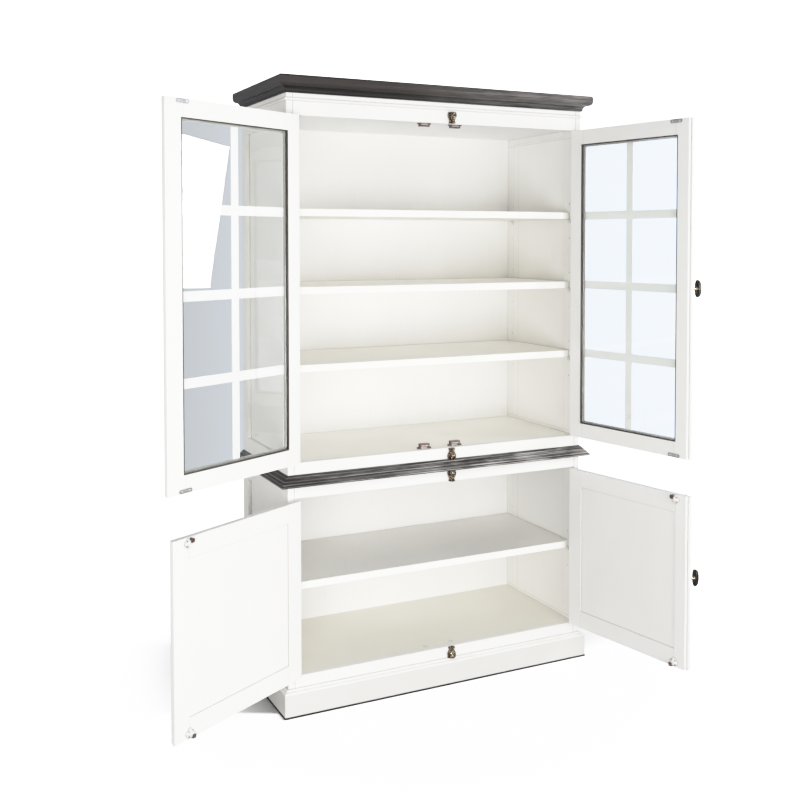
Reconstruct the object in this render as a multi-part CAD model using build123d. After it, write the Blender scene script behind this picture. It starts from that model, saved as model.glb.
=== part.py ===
from build123d import *
import math
import os

# China cabinet in two sections: a panelled base under a glazed hutch.
# Frame: X to the right, Y to the back, Z up, origin on the floor under the middle of the carcass.
# Millimetres throughout. The doors are drawn shut and then swung to the angles they rest at.

# Carcass
carcass_width = 1140.0
carcass_depth = 484.0
side_thickness = 20.0
floor_thickness = 20.0
ceiling_thickness = 18.0
ceiling_rise = 6.0
back_thickness = 8.0
back_rabbet = 10.0
top_board_thickness = 18.0
fit_clearance = 0.5

# Heights, from the floor up
plinth_board_height = 78.0
plinth_moulding_height = 12.0
lower_bottom_rail = 40.0
lower_opening_height = 584.0
lower_top_rail = 42.0
waist_height = 36.0
upper_bottom_rail = 39.0
upper_opening_height = 1125.0
upper_top_rail = 71.0
cornice_height = 55.0

# Face frame and framed joinery
face_thickness = 22.0
face_stile = 22.0
face_rail_lap = 30.0
tenon_length = 10.0
tenon_shoulder = 13.0
tenon_clearance = 0.1
arris = 0.8

# Framed sides
side_stile = 58.0
side_panel_thickness = 9.0
side_panel_rabbet = 8.0
side_panel_below_ceiling = 30.0
side_panel_below_buffet = 60.0
side_panel_above_floor = 12.0

# Plinth, and the bead under the frieze
plinth_thickness = 18.0
plinth_clearance = 4.0
stretcher_thickness = 20.0
frieze_height = 15.0
bead_height = 9.0
bead_projection = 5.5

# Cornice outline: reach out from the carcass, height above its underside
cornice_projection = 33.0
cornice_bead_reach = 4.0
cornice_bead_bulge = 2.0
cornice_bead_height = 5.0
cornice_cove_low_reach = 5.5
cornice_cove_high_reach = 15.5
cornice_cove_top = 19.0
cornice_nose_reach = 18.0
cornice_nose_low = 34.0
cornice_corner = 8.0

# Waist outline: reach out from the carcass, height above its underside
waist_projection = 30.0
waist_foot_bulge = 2.4
waist_foot_height = 9.0
waist_reed_count = 4
waist_reed_swell = 2.2
waist_reed_reach = 26.0
waist_reed_top = 33.0
waist_fillet_reach = 3.0

# Shelves and their supports
shelf_thickness = 24.0
shelf_setback = 27.0
shelf_end_clearance = 1.5
shelf_back_clearance = 2.0
shelf_notch_width = 14.0
shelf_notch_depth = 12.0
first_shelf_height = 314.0
shelf_spacing = 256.0
upper_shelf_count = 3
lower_shelf_height = 299.0
hole_pitch = 64.0
hole_depth = 12.0
pin_radius = 2.5
pin_clearance = 0.05
pin_length = 10.0
pin_drop = 7.0
pin_from_face = 18.0
pin_from_back = 36.0
support_width = 14.0
support_reach = 11.0
support_leaf = 3.0
support_leg = 14.0

# Doors
door_thickness = 22.0
door_gap = 2.0
meeting_lap = 7.0
meeting_step = 11.0
meeting_clearance = 1.2
glass_door_stile = 61.0
glass_door_rail = 62.0
glass_lip = 9.0
glass_lip_thickness = 7.0
glass_thickness = 4.0
glass_clearance = 1.0
glazing_bead_width = 4.0
glazing_bead_depth = 8.0
muntin_width = 20.0
muntin_bevel = 3.0
light_rows = 4
panel_door_stile = 60.0
panel_door_free_stile = 51.0
panel_door_rail = 60.0
panel_thickness = 10.0
panel_outer_recess = 8.0
panel_groove = 8.0

# Angles at which the doors stand open
upper_left_angle = 152.0
upper_right_angle = 100.0
lower_left_angle = 150.0
lower_right_angle = 100.0

# Butt hinges
hinge_height = 64.0
hinge_from_end = 110.0
upper_hinge_count = 3
lower_hinge_count = 2
leaf_width = 18.0
leaf_thickness = 1.6
barrel_radius = 3.5
barrel_clearance = 0.3
hinge_pin_radius = 1.6
running_clearance = 0.06

# Catches and strikes
catch_from_centre = 60.0
catch_width = 36.0
catch_height = 17.0
catch_depth = 16.0
catch_ear = 6.5
catch_sheet = 2.5
catch_clearance = 0.4
catch_bar_height = 8.0
catch_bar_setback = 1.0
strike_length = 49.0
strike_width = 12.0
strike_thickness = 1.2
strike_margin = 2.0
strike_hole_radius = 1.8
strike_hole_spacing = 29.0
button_radius = 15.0
button_depth = 11.0
button_edge = 3.0
button_margin = 1.5
button_from_centre = 51.0
magnet_width = 15.0
magnet_height = 13.0
magnet_depth = 14.0
magnet_offset = 7.5
plate_size = 10.0
plate_thickness = 2.5
plate_setback = 12.0

# Cremone bolts on the right-hand doors
bolt_inset = 29.0
rod_radius = 4.5
rod_standoff = 6.0
rod_tip_margin = 1.0
guide_height = 16.0
guide_wall = 3.5
guide_foot_width = 28.0
guide_foot_thickness = 2.5
guide_from_edge = 40.0
guide_from_case = 60.0
case_width = 38.0
case_height = 90.0
case_depth = 12.4
case_wall = 2.6
case_corner = 14.0
case_edge = 2.4
pinion_teeth = 18
pinion_module = 1.1
pressure_angle = 20.0
root_depth = 1.375
gear_thickness = 6.0
gear_backlash = 0.2
rack_back = 4.0
rack_overrun = 5.2
rack_foot_height = 6.0
rack_clearance = 1.5
spindle_radius = 4.0
stem_radius = 5.5
knob_standoff = 53.0
knob_height = 56.0
knob_width = 22.0
knob_depth = 17.0
knob_shoulder_radius = 8.8
knob_shoulder_level = 16.8
knob_tip_radius = 4.0
keeper_height = 38.0
keeper_margin = 0.5
keeper_lip_radius = 12.0
keeper_lip_round = 2.0
keeper_lip_height = 5.0
keeper_neck_radius = 9.2
keeper_neck_level = 10.5
keeper_bulge_radius = 15.4
keeper_bulge_level = 26.0
keeper_base_radius = 14.8
keeper_base_level = 34.0
keeper_end_radius = 13.2
keeper_socket_depth = 20.0
keeper_clearance = 0.6

# Levels and planes that follow from the sizes above
plinth_top = plinth_board_height + plinth_moulding_height
lower_floor_level = plinth_top + lower_bottom_rail
lower_opening_top = lower_floor_level + lower_opening_height
buffet_underside = lower_opening_top + lower_top_rail
waist_top = buffet_underside + waist_height
upper_floor_level = waist_top + upper_bottom_rail
upper_opening_top = upper_floor_level + upper_opening_height
cornice_underside = upper_opening_top + upper_top_rail
cornice_top = cornice_underside + cornice_height
top_board_underside = cornice_top - top_board_thickness
ceiling_level = upper_opening_top + ceiling_rise

half_width = carcass_width / 2
front = -carcass_depth / 2
back = carcass_depth / 2
face_back = front + face_thickness
inner_half = half_width - side_thickness
panel_front = back - back_thickness
opening_half = half_width - face_stile
door_hinge_edge = opening_half - door_gap
door_free_edge = door_gap / 2
door_back = front + door_thickness

pivot_x = opening_half - door_gap / 2
pivot_y = front - barrel_radius - barrel_clearance
bolt_x = door_free_edge + bolt_inset
bolt_y = front - rod_standoff
pinion_radius = pinion_module * pinion_teeth / 2
first_shelf_level = upper_floor_level + first_shelf_height
upper_shelf_levels = [first_shelf_level + n * shelf_spacing for n in range(upper_shelf_count)]
lower_shelf_level = lower_floor_level + lower_shelf_height


def block(x, y, z):
    """Rectangular solid between the bounds given as (low, high) pairs."""
    size = Box(x[1] - x[0], y[1] - y[0], z[1] - z[0])
    return Pos(sum(x) / 2, sum(y) / 2, sum(z) / 2) * size


def eased(solid, axis):
    """Board with its long edges taken off by the arris."""
    return chamfer(solid.edges().filter_by(axis), arris)


def mirrored(solids):
    """The same solids on the other side of the cabinet."""
    return [solid.mirror(Plane.YZ) for solid in solids]


def both_sides(solids):
    return solids + mirrored(solids)


def framed(x, y, z, widths, bottom, top, channel_reach=0.0, channel=None):
    """Two stiles with two tenoned rails between them, as (stiles, rails).

    widths are those of the low-x and the high-x stile. channel is the (low, high) depth of a
    groove or rabbet that runs round the inner edges and reaches channel_reach into them.
    """
    left, right = x[0] + widths[0], x[1] - widths[1]
    low, high = z[0] + bottom, z[1] - top
    third = (y[1] - y[0]) / 3
    tenon_y = (y[0] + third, y[1] - third)
    stiles = [eased(block((x[0], left), y, z), Axis.Z), eased(block((right, x[1]), y, z), Axis.Z)]
    rails = []
    for rail_z in ((z[0], low), (high, z[1])):
        tenon_z = (rail_z[0] + tenon_shoulder, rail_z[1] - tenon_shoulder)
        tenon = block((left - tenon_length, right + tenon_length), tenon_y, tenon_z)
        mortise = block(
            (left - tenon_length - tenon_clearance, right + tenon_length + tenon_clearance),
            (tenon_y[0] - tenon_clearance, tenon_y[1] + tenon_clearance),
            (tenon_z[0] - tenon_clearance, tenon_z[1] + tenon_clearance),
        )
        rails.append(eased(block((left, right), y, rail_z), Axis.X) + tenon)
        stiles = [one - mortise for one in stiles]
    if channel:
        reach = channel_reach
        cut = block((left - reach, right + reach), channel, (low - reach, high + reach))
        stiles = [one - cut for one in stiles]
        rails = [one - cut for one in rails]
    return stiles, rails


def side(z, panel_z, shelf_levels):
    """Right-hand framed side: front and back stile, two rails and the panel let in from inside."""
    depth = back - face_back
    stiles, rails = framed(
        (0, depth),
        (0, side_thickness),
        z,
        (side_stile, side_stile),
        panel_z[0] - z[0],
        z[1] - panel_z[1],
        side_panel_rabbet,
        (side_thickness - side_panel_thickness, side_thickness),
    )
    reach = side_panel_rabbet - fit_clearance
    panel = block(
        (side_stile - reach, depth - side_stile + reach),
        (side_thickness - side_panel_thickness, side_thickness),
        (panel_z[0] - reach, panel_z[1] + reach),
    )
    columns = (pin_from_face, depth - back_thickness - pin_from_back)
    for stile, column in zip(range(2), columns):
        for level in shelf_levels:
            for step in (-1, 0, 1):
                height = level - shelf_thickness - pin_drop + step * hole_pitch
                hole = Pos(column, side_thickness - hole_depth / 2, height) * Rot(90, 0, 0)
                stiles[stile] -= hole * Cylinder(pin_radius + pin_clearance, hole_depth)
    rabbet = block((depth - back_thickness, depth), (side_thickness - back_rabbet, side_thickness), z)
    stiles[1] -= rabbet
    rails = [one - rabbet for one in rails]
    place = Pos(half_width, face_back, 0) * Rot(0, 0, 90)
    return [place * solid for solid in stiles + rails + [panel]]


def back_panel(z):
    reach = inner_half + back_rabbet - fit_clearance
    return [block((-reach, reach), (panel_front, back), z)]


def floor_board(level):
    return [block((-inner_half, inner_half), (face_back, panel_front), (level - floor_thickness, level))]


def shelf(level):
    """Loose shelf with its front corners notched back."""
    end = inner_half - shelf_end_clearance
    y = (front + shelf_setback, panel_front - shelf_back_clearance)
    z = (level - shelf_thickness, level)
    board = eased(block((-end, end), y, z), Axis.X)
    notch = block((end - shelf_notch_width, end), (y[0], y[0] + shelf_notch_depth), z)
    return [board - notch - notch.mirror(Plane.YZ)]


def shelf_supports(level):
    """Four angle supports under one shelf, each on a pin in the side's column of holes."""
    under = level - shelf_thickness
    solids = []
    for y in (face_back + pin_from_face, panel_front - pin_from_back):
        span = (y - support_width / 2, y + support_width / 2)
        leaf = block((inner_half - support_reach, inner_half), span, (under - support_leaf, under))
        leg = block((inner_half - support_leaf, inner_half), span, (under - support_leg, under))
        pin = Pos(inner_half, y, under - pin_drop) * Rot(0, 90, 0)
        pin = pin * Cylinder(pin_radius, pin_length, align=(Align.CENTER, Align.CENTER, Align.MIN))
        solids.append(leaf + leg + pin)
    return both_sides(solids)


def wrapped(outline, level, projection):
    """Moulding round the front and both sides, in three mitred lengths.

    outline is a closed face in the plane of distance out from the carcass and height above level.
    """
    reach = projection + fit_clearance
    across = Plane(origin=(0, front, level), x_dir=(0, -1, 0), z_dir=(-1, 0, 0))
    along = Plane(origin=(half_width, 0, level), x_dir=(1, 0, 0), z_dir=(0, -1, 0))
    run = half_width + reach
    front_bar = extrude(across * outline, amount=run, both=True)
    side_bar = extrude(along * outline, amount=carcass_depth, both=True)
    tall = (level - reach, cornice_top + reach)
    front_zone = prism(
        [(-half_width, front), (half_width, front), (run, front - reach), (-run, front - reach)], tall)
    side_zone = prism([(half_width, front), (half_width, back), (run, back), (run, front - reach)], tall)
    side_piece = side_bar & side_zone
    return [front_bar & front_zone] + both_sides([side_piece])


def prism(points, z):
    """Upright prism on a plan outline."""
    outline = make_face(Polyline(*points, close=True))
    return extrude(Pos(0, 0, z[0]) * outline, amount=z[1] - z[0])


def cornice_outline():
    """Crown: bead and cove below, then a fillet and a round-nosed edge under the flat top."""
    bead, cove = cornice_bead_height, cornice_cove_top
    out, corner = cornice_projection, cornice_corner
    bulge = (cornice_bead_reach + cornice_bead_bulge, bead / 2)
    lines = [
        Line((0, 0), (cornice_bead_reach, 0)),
        ThreePointArc((cornice_bead_reach, 0), bulge, (cornice_bead_reach, bead)),
        Line((cornice_bead_reach, bead), (cornice_cove_low_reach, bead)),
        TangentArc((cornice_cove_low_reach, bead), (cornice_cove_high_reach, cove), tangent=(0, 1)),
        Line((cornice_cove_high_reach, cove), (cornice_nose_reach, cove)),
        TangentArc((cornice_nose_reach, cove), (out, cornice_nose_low), tangent=(1, 0)),
        Line((out, cornice_nose_low), (out, cornice_height - corner)),
        RadiusArc((out, cornice_height - corner), (out - corner, cornice_height), -corner),
        Line((out - corner, cornice_height), (0, cornice_height)),
        Line((0, cornice_height), (0, 0)),
    ]
    return make_face(Curve() + lines)


def waist_outline():
    """Spreading edge of the buffet top: rounded foot, a slope of reeds and an upper fillet."""
    foot = waist_projection - waist_foot_bulge
    foot_top = waist_foot_height
    run = waist_fillet_reach - waist_reed_reach
    rise = waist_reed_top - foot_top
    slope = math.hypot(run, rise)
    lines = [
        Line((0, 0), (foot, 0)),
        ThreePointArc((foot, 0), (waist_projection, foot_top / 2), (foot, foot_top)),
        Line((foot, foot_top), (waist_reed_reach, foot_top)),
    ]

    def on_slope(share, swell=0.0):
        return (waist_reed_reach + share * run + swell * rise / slope,
                foot_top + share * rise - swell * run / slope)

    for n in range(waist_reed_count):
        low, middle, high = n / waist_reed_count, (n + 0.5) / waist_reed_count, (n + 1) / waist_reed_count
        lines.append(ThreePointArc(on_slope(low), on_slope(middle, waist_reed_swell), on_slope(high)))
    lines += [
        Line((waist_fillet_reach, waist_reed_top), (waist_fillet_reach, waist_height)),
        Line((waist_fillet_reach, waist_height), (0, waist_height)),
        Line((0, waist_height), (0, 0)),
    ]
    return make_face(Curve() + lines)


def plinth_moulding_outline():
    """Ogee cap: a round that rises from the face of the plinth board, then a hollow that ends upright."""
    tall = plinth_moulding_height
    turn = (plinth_thickness - tall / 2, tall / 2)
    top = (plinth_thickness - tall, tall)
    lines = [
        Line((0, 0), (plinth_thickness, 0)),
        TangentArc((plinth_thickness, 0), turn, tangent=(0, 1)),
        TangentArc(turn, top, tangent=(-1, 0)),
        Line(top, (0, tall)),
        Line((0, tall), (0, 0)),
    ]
    return make_face(Curve() + lines)


def bead_outline():
    """Half-round bead."""
    nose = ThreePointArc((0, 0), (bead_projection, bead_height / 2), (0, bead_height))
    return make_face(Curve() + [nose, Line((0, bead_height), (0, 0))])


def plinth_outline():
    """Plinth board, held clear of the ground by the sides and the stretchers."""
    return make_face(Polyline(
        (0, plinth_clearance), (plinth_thickness, plinth_clearance),
        (plinth_thickness, plinth_board_height), (0, plinth_board_height), close=True))


def plinth():
    """Wrapped boards outside, with a rear and a middle stretcher that carry the floor board."""
    top = lower_floor_level - floor_thickness
    half = stretcher_thickness / 2
    rear = block((-inner_half, inner_half), (panel_front - stretcher_thickness, panel_front), (0, top))
    middle = block((-half, half), (face_back, panel_front - stretcher_thickness), (0, top))
    return wrapped(plinth_outline(), 0, plinth_thickness) + [rear, middle]


def glass_door(z):
    """Right-hand glazed door, shut: stiles, rails, muntins, pane and glazing beads."""
    x = (door_free_edge, door_hinge_edge)
    y = (front, door_back)
    lip_back = front + glass_lip_thickness
    stiles, rails = framed(
        x, y, z, (glass_door_stile, glass_door_stile), glass_door_rail, glass_door_rail,
        glass_lip, (lip_back, door_back))
    sight_x = (x[0] + glass_door_stile, x[1] - glass_door_stile)
    sight_z = (z[0] + glass_door_rail, z[1] - glass_door_rail)
    half = muntin_width / 2
    middle = sum(sight_x) / 2
    bar_y = (front, lip_back)
    upright = block((middle - half, middle + half), bar_y, sight_z)
    muntins = [chamfer(upright.edges().filter_by(Axis.Z).group_by(Axis.Y)[0], muntin_bevel)]
    row = (sight_z[1] - sight_z[0]) / light_rows
    for n in range(1, light_rows):
        level = sight_z[0] + n * row
        for span in ((sight_x[0], middle - half), (middle + half, sight_x[1])):
            bar = block(span, bar_y, (level - half, level + half))
            muntins.append(chamfer(bar.edges().filter_by(Axis.X).group_by(Axis.Y)[0], muntin_bevel))
    edge = glass_lip - glass_clearance
    pane_back = lip_back + glass_thickness
    pane = block(
        (sight_x[0] - edge, sight_x[1] + edge), (lip_back, pane_back), (sight_z[0] - edge, sight_z[1] + edge))
    wall_x = (sight_x[0] - glass_lip, sight_x[1] + glass_lip)
    wall_z = (sight_z[0] - glass_lip, sight_z[1] + glass_lip)
    beads = mitred_strips(wall_x, wall_z, glazing_bead_width, (pane_back, pane_back + glazing_bead_depth))
    return {"stiles": stiles, "rails": rails, "muntins": muntins, "glass": [pane], "glazing_beads": beads}


def mitred_strips(x, z, width, y):
    """Four strips that line a rectangular wall, mitred at its corners."""
    outer = [(x[0], z[0]), (x[1], z[0]), (x[1], z[1]), (x[0], z[1])]
    inner = [
        (x[0] + width, z[0] + width), (x[1] - width, z[0] + width),
        (x[1] - width, z[1] - width), (x[0] + width, z[1] - width),
    ]
    plane = Plane(origin=(0, y[1], 0), x_dir=(1, 0, 0), z_dir=(0, -1, 0))
    strips = []
    for n in range(4):
        following = (n + 1) % 4
        corners = [outer[n], outer[following], inner[following], inner[n]]
        strips.append(extrude(plane * make_face(Polyline(*corners, close=True)), amount=y[1] - y[0]))
    return strips


def panel_door(z):
    """Right-hand panelled door, shut: stiles, rails and the flat panel in its groove."""
    x = (door_free_edge, door_hinge_edge)
    y = (front, door_back)
    groove = (front + panel_outer_recess, front + panel_outer_recess + panel_thickness)
    stiles, rails = framed(
        x, y, z, (panel_door_free_stile, panel_door_stile), panel_door_rail, panel_door_rail,
        panel_groove, groove)
    reach = panel_groove - fit_clearance
    panel = block(
        (x[0] + panel_door_free_stile - reach, x[1] - panel_door_stile + reach),
        groove,
        (z[0] + panel_door_rail - reach, z[1] - panel_door_rail + reach),
    )
    return {"stiles": stiles, "rails": rails, "panel": [panel]}


def hinge_levels(z, count):
    """Heights of the hinge middles on a door that spans z."""
    low = z[0] + hinge_from_end
    step = (z[1] - z[0] - 2 * hinge_from_end) / (count - 1)
    return [low + n * step for n in range(count)]


def hinge(level):
    """Butt hinge on the right-hand pivot, shut: the frame's leaf with the pin, and the door's leaf."""
    knuckle = hinge_height / 3
    low = level - hinge_height / 2
    half_gap = door_gap / 2
    leaf_y = (front, front + leaf_width)
    neck_y = (pivot_y, front)
    frame_x = (pivot_x + half_gap, pivot_x + half_gap + leaf_thickness)
    door_x = (pivot_x - half_gap - leaf_thickness, pivot_x - half_gap)
    whole = (low, low + hinge_height)
    barrel = Pos(pivot_x, pivot_y, 0)
    frame_leaf = block(frame_x, leaf_y, whole)
    for z in ((low, low + knuckle), (low + 2 * knuckle, low + hinge_height)):
        tube = Cylinder(barrel_radius, z[1] - z[0])
        frame_leaf = frame_leaf + block(frame_x, neck_y, z) + barrel * Pos(0, 0, sum(z) / 2) * tube
    frame_leaf += barrel * Pos(0, 0, level) * Cylinder(hinge_pin_radius, hinge_height)
    mid = (low + knuckle + barrel_clearance, low + 2 * knuckle - barrel_clearance)
    tube = Cylinder(barrel_radius, mid[1] - mid[0])
    door_leaf = block(door_x, leaf_y, whole) + block(door_x, neck_y, mid) + barrel * Pos(0, 0, level) * tube
    door_leaf -= barrel * Pos(0, 0, level) * Cylinder(hinge_pin_radius + running_clearance, hinge_height)
    return frame_leaf, door_leaf


def hinge_recess(level, x):
    """Space let in for one leaf."""
    return block(x, (front, front + leaf_width), (level - hinge_height / 2, level + hinge_height / 2))


def strike_plates(z):
    """Pill-shaped steel plates on the inner face of a right-hand glazed door, top and bottom."""
    offset = strike_margin + strike_width / 2
    solids = []
    for level in (z[0] + offset, z[1] - offset):
        plane = Plane(origin=(catch_from_centre, door_back, level), x_dir=(-1, 0, 0), z_dir=(0, 1, 0))
        pill = SlotOverall(strike_length, strike_width)
        for side_x in (-strike_hole_spacing / 2, strike_hole_spacing / 2):
            pill -= Pos(side_x, 0) * Circle(strike_hole_radius)
        solids.append(extrude(plane * pill, amount=strike_thickness))
    return solids


def magnetic_catches():
    """Right-hand pair of catches that meet the strikes: two brackets, then their magnet bars.

    A bracket is bent from sheet: a crown over the bar, two legs, and an ear each side. One hangs
    under the ceiling and one stands on the floor.
    """
    y0 = door_back + strike_thickness + catch_clearance
    half = catch_width / 2
    inner = half - catch_sheet
    ear = half + catch_ear
    outline = Polyline(
        (-ear, 0), (-inner, 0), (-inner, catch_height - catch_sheet), (inner, catch_height - catch_sheet),
        (inner, 0), (ear, 0), (ear, catch_sheet), (half, catch_sheet), (half, catch_height),
        (-half, catch_height), (-half, catch_sheet), (-ear, catch_sheet), close=True)
    brackets = []
    magnets = []
    for level, up in ((ceiling_level, -1), (upper_floor_level, 1)):
        plane = Plane(origin=(catch_from_centre, y0, level), x_dir=(-up, 0, 0), z_dir=(0, 1, 0))
        brackets.append(extrude(plane * make_face(outline), amount=catch_depth))
        span = (catch_from_centre - inner, catch_from_centre + inner)
        crown = catch_height - catch_sheet
        z = sorted((level + up * (crown - catch_bar_height), level + up * crown))
        magnets.append(block(span, (y0 + catch_bar_setback, y0 + catch_depth), z))
    return brackets + magnets


def catch_buttons(z):
    """Round catches on the inner face of a right-hand panelled door.

    Each has a magnet block on the side of the hinge and of the nearer end of the door.
    """
    offset = button_margin + button_radius
    solids = []
    for level, up in ((z[0] + offset, -1), (z[1] - offset, 1)):
        place = Pos(button_from_centre, door_back, level)
        disc = Cylinder(button_radius, button_depth, align=(Align.CENTER, Align.CENTER, Align.MIN))
        disc = fillet(disc.edges().sort_by(Axis.Z)[-1], button_edge)
        magnet = Pos(magnet_offset, 0, up * magnet_offset) * block(
            (-magnet_width / 2, magnet_width / 2), (0, magnet_depth), (-magnet_height / 2, magnet_height / 2))
        solids.append(place * (Rot(-90, 0, 0) * disc + magnet))
    return solids


def keeper_plates():
    """Right-hand plates for the panelled doors: one on the floor, one behind the top rail."""
    y0 = door_back + plate_setback
    x = (button_from_centre - plate_size / 2, button_from_centre + plate_size / 2)
    on_floor = block(x, (y0, y0 + plate_size), (lower_floor_level, lower_floor_level + plate_thickness))
    z0 = lower_opening_top + plate_thickness
    on_rail = block(x, (face_back, face_back + plate_thickness), (z0, z0 + plate_size))
    return [on_floor, on_rail]


def keeper():
    """Turned vase that receives a rod, mouth at height zero and flat against the rail behind."""
    lip = keeper_lip_radius - keeper_lip_round
    outline = Curve() + [
        Line((0, 0), (lip, 0)),
        ThreePointArc((lip, 0), (keeper_lip_radius, keeper_lip_height / 2), (lip, keeper_lip_height)),
        Spline((lip, keeper_lip_height), (keeper_neck_radius, keeper_neck_level),
               (keeper_bulge_radius, keeper_bulge_level), (keeper_base_radius, keeper_base_level)),
        Line((keeper_base_radius, keeper_base_level), (keeper_end_radius, keeper_height)),
        Line((keeper_end_radius, keeper_height), (0, keeper_height)),
        Line((0, keeper_height), (0, 0)),
    ]
    vase = revolve(Plane.XZ * make_face(outline), Axis.Z)
    socket = Cylinder(rod_radius + keeper_clearance, keeper_socket_depth,
                      align=(Align.CENTER, Align.CENTER, Align.MIN))
    reach = keeper_bulge_radius + fit_clearance
    rail_side = block((-reach, reach), (rod_standoff, rod_standoff + reach), (-reach, keeper_height + reach))
    return vase - socket - rail_side


def keepers():
    """One keeper on each rail above and below the two right-hand doors."""
    solids = []
    for low, high in ((lower_floor_level, lower_opening_top), (upper_floor_level, upper_opening_top)):
        above = Pos(bolt_x, bolt_y, high + keeper_margin) * keeper()
        below = Pos(bolt_x, bolt_y, low - keeper_margin) * keeper().mirror(Plane.XY)
        solids += [above, below]
    return solids


def involute(angle):
    return math.tan(angle) - angle


def pinion():
    """Involute pinion about Y with a tooth pointing along X, bored for the spindle."""
    base = pinion_radius * math.cos(math.radians(pressure_angle))
    tip = pinion_radius + pinion_module
    root = pinion_radius - root_depth
    half_pitch = math.pi / (2 * pinion_teeth) - gear_backlash / (2 * pinion_radius)

    def flank(radius, turn, hand):
        lean = involute(math.radians(pressure_angle)) - involute(math.acos(min(1.0, base / radius)))
        angle = turn + hand * (half_pitch + lean)
        return radius * math.cos(angle), radius * math.sin(angle)

    def rooted(turn, hand):
        angle = turn + hand * (half_pitch + involute(math.radians(pressure_angle)))
        return root * math.cos(angle), root * math.sin(angle)

    lines = []
    pitch = 2 * math.pi / pinion_teeth
    middle = (base + tip) / 2
    for n in range(pinion_teeth):
        turn = n * pitch
        lines += [
            Line(rooted(turn, -1), flank(base, turn, -1)),
            ThreePointArc(flank(base, turn, -1), flank(middle, turn, -1), flank(tip, turn, -1)),
            Line(flank(tip, turn, -1), flank(tip, turn, 1)),
            ThreePointArc(flank(tip, turn, 1), flank(middle, turn, 1), flank(base, turn, 1)),
            Line(flank(base, turn, 1), rooted(turn, 1)),
            Line(rooted(turn, 1), rooted(turn + pitch, -1)),
        ]
    wheel = make_face(Curve() + lines) - Circle(spindle_radius + pin_clearance)
    plane = Plane(origin=(0, gear_thickness / 2, 0), x_dir=(1, 0, 0), z_dir=(0, -1, 0))
    return extrude(plane * wheel, amount=gear_thickness)


def rack():
    """Rack on the +X side of the pinion, in mesh with it, with a foot that reaches in to the rod."""
    slope = math.tan(math.radians(pressure_angle))
    pitch = math.pi * pinion_module
    throw = pinion_radius * math.pi / 2
    tip_x = pinion_radius - pinion_module
    root_x = pinion_radius + root_depth
    half = pitch / 4 - gear_backlash / 2
    foot_z = pinion_radius + pinion_module + rack_clearance
    low = -throw - rack_overrun
    solid = block((root_x, root_x + rack_back), (-gear_thickness / 2, gear_thickness / 2),
                  (low, foot_z + rack_foot_height))
    solid += block((0, root_x + rack_back), (-gear_thickness / 2, gear_thickness / 2),
                   (foot_z, foot_z + rack_foot_height))
    plane = Plane(origin=(0, gear_thickness / 2, 0), x_dir=(1, 0, 0), z_dir=(0, -1, 0))
    first = math.ceil(low / pitch + 0.5)
    last = math.floor(foot_z / pitch - 1.0)
    for n in range(first, last + 1):
        z = (n + 0.5) * pitch
        tip_half = half - pinion_module * slope
        root_half = half + root_depth * slope
        tooth = Polyline((root_x, z - root_half), (tip_x, z - tip_half), (tip_x, z + tip_half),
                         (root_x, z + root_half), close=True)
        solid += extrude(plane * make_face(tooth), amount=gear_thickness)
    return solid


def bolt_rod(length):
    """Round rod above the pinion, on the rack that drives it; length is from the pinion's axis."""
    foot_z = pinion_radius + pinion_module + rack_clearance
    rod = Cylinder(rod_radius, length - foot_z, align=(Align.CENTER, Align.CENTER, Align.MIN))
    return rack() + Pos(0, 0, foot_z) * rod


def bolt_case():
    """Gear case on the door's face, open behind, with holes for the rods and the spindle."""
    plane = Plane(origin=(0, rod_standoff, 0), x_dir=(1, 0, 0), z_dir=(0, -1, 0))
    shell = extrude(plane * RectangleRounded(case_width, case_height, case_corner), amount=case_depth)
    shell = fillet(shell.faces().sort_by(Axis.Y)[0].edges(), case_edge)
    hollow = RectangleRounded(
        case_width - 2 * case_wall, case_height - 2 * case_wall, case_corner - case_wall)
    shell -= extrude(plane * hollow, amount=case_depth - case_wall)
    shell -= Cylinder(rod_radius + running_clearance, 2 * case_height)
    spindle_hole = Cylinder(spindle_radius + running_clearance, 2 * case_depth)
    return shell - Pos(0, rod_standoff - case_depth, 0) * Rot(90, 0, 0) * spindle_hole


def rod_guide():
    """Saddle that holds a rod to the door's face."""
    outer = rod_radius + guide_wall
    foot = guide_foot_width / 2
    plane = Plane(origin=(0, 0, -guide_height / 2))
    arch = Circle(outer) + Pos(0, rod_standoff / 2) * Rectangle(2 * outer, rod_standoff)
    arch += Pos(0, rod_standoff - guide_foot_thickness / 2) * Rectangle(2 * foot, guide_foot_thickness)
    limit = outer + rod_standoff
    arch -= Pos(0, rod_standoff + limit) * Rectangle(4 * limit, 2 * limit)
    arch -= Circle(rod_radius + running_clearance)
    return extrude(plane * arch, amount=guide_height)


def bolt_knob():
    """Oval knob, round in front and cut flat behind, on its stem and spindle."""
    half_wide, half_tall = knob_width / 2, knob_height / 2
    low_tip, high_tip = (knob_tip_radius, -half_tall), (knob_tip_radius, half_tall)
    oval = Curve() + [
        Line((0, -half_tall), low_tip),
        Spline(low_tip, (knob_shoulder_radius, -knob_shoulder_level), (half_wide, 0),
               (knob_shoulder_radius, knob_shoulder_level), high_tip),
        Line(high_tip, (0, half_tall)),
        Line((0, half_tall), (0, -half_tall)),
    ]
    head = Pos(0, half_wide - knob_depth, 0) * revolve(Plane.YZ * make_face(oval), Axis.Z)
    head -= block((-knob_width, knob_width), (0, knob_width), (-knob_height, knob_height))
    stem_length = knob_standoff - case_depth
    stem = Pos(0, stem_length / 2, 0) * Rot(90, 0, 0) * Cylinder(stem_radius, stem_length)
    reach = knob_standoff - rod_standoff + gear_thickness / 2
    spindle = Pos(0, reach / 2, 0) * Rot(90, 0, 0) * Cylinder(spindle_radius, reach)
    return Pos(0, rod_standoff - knob_standoff, 0) * (head + stem + spindle)


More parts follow.
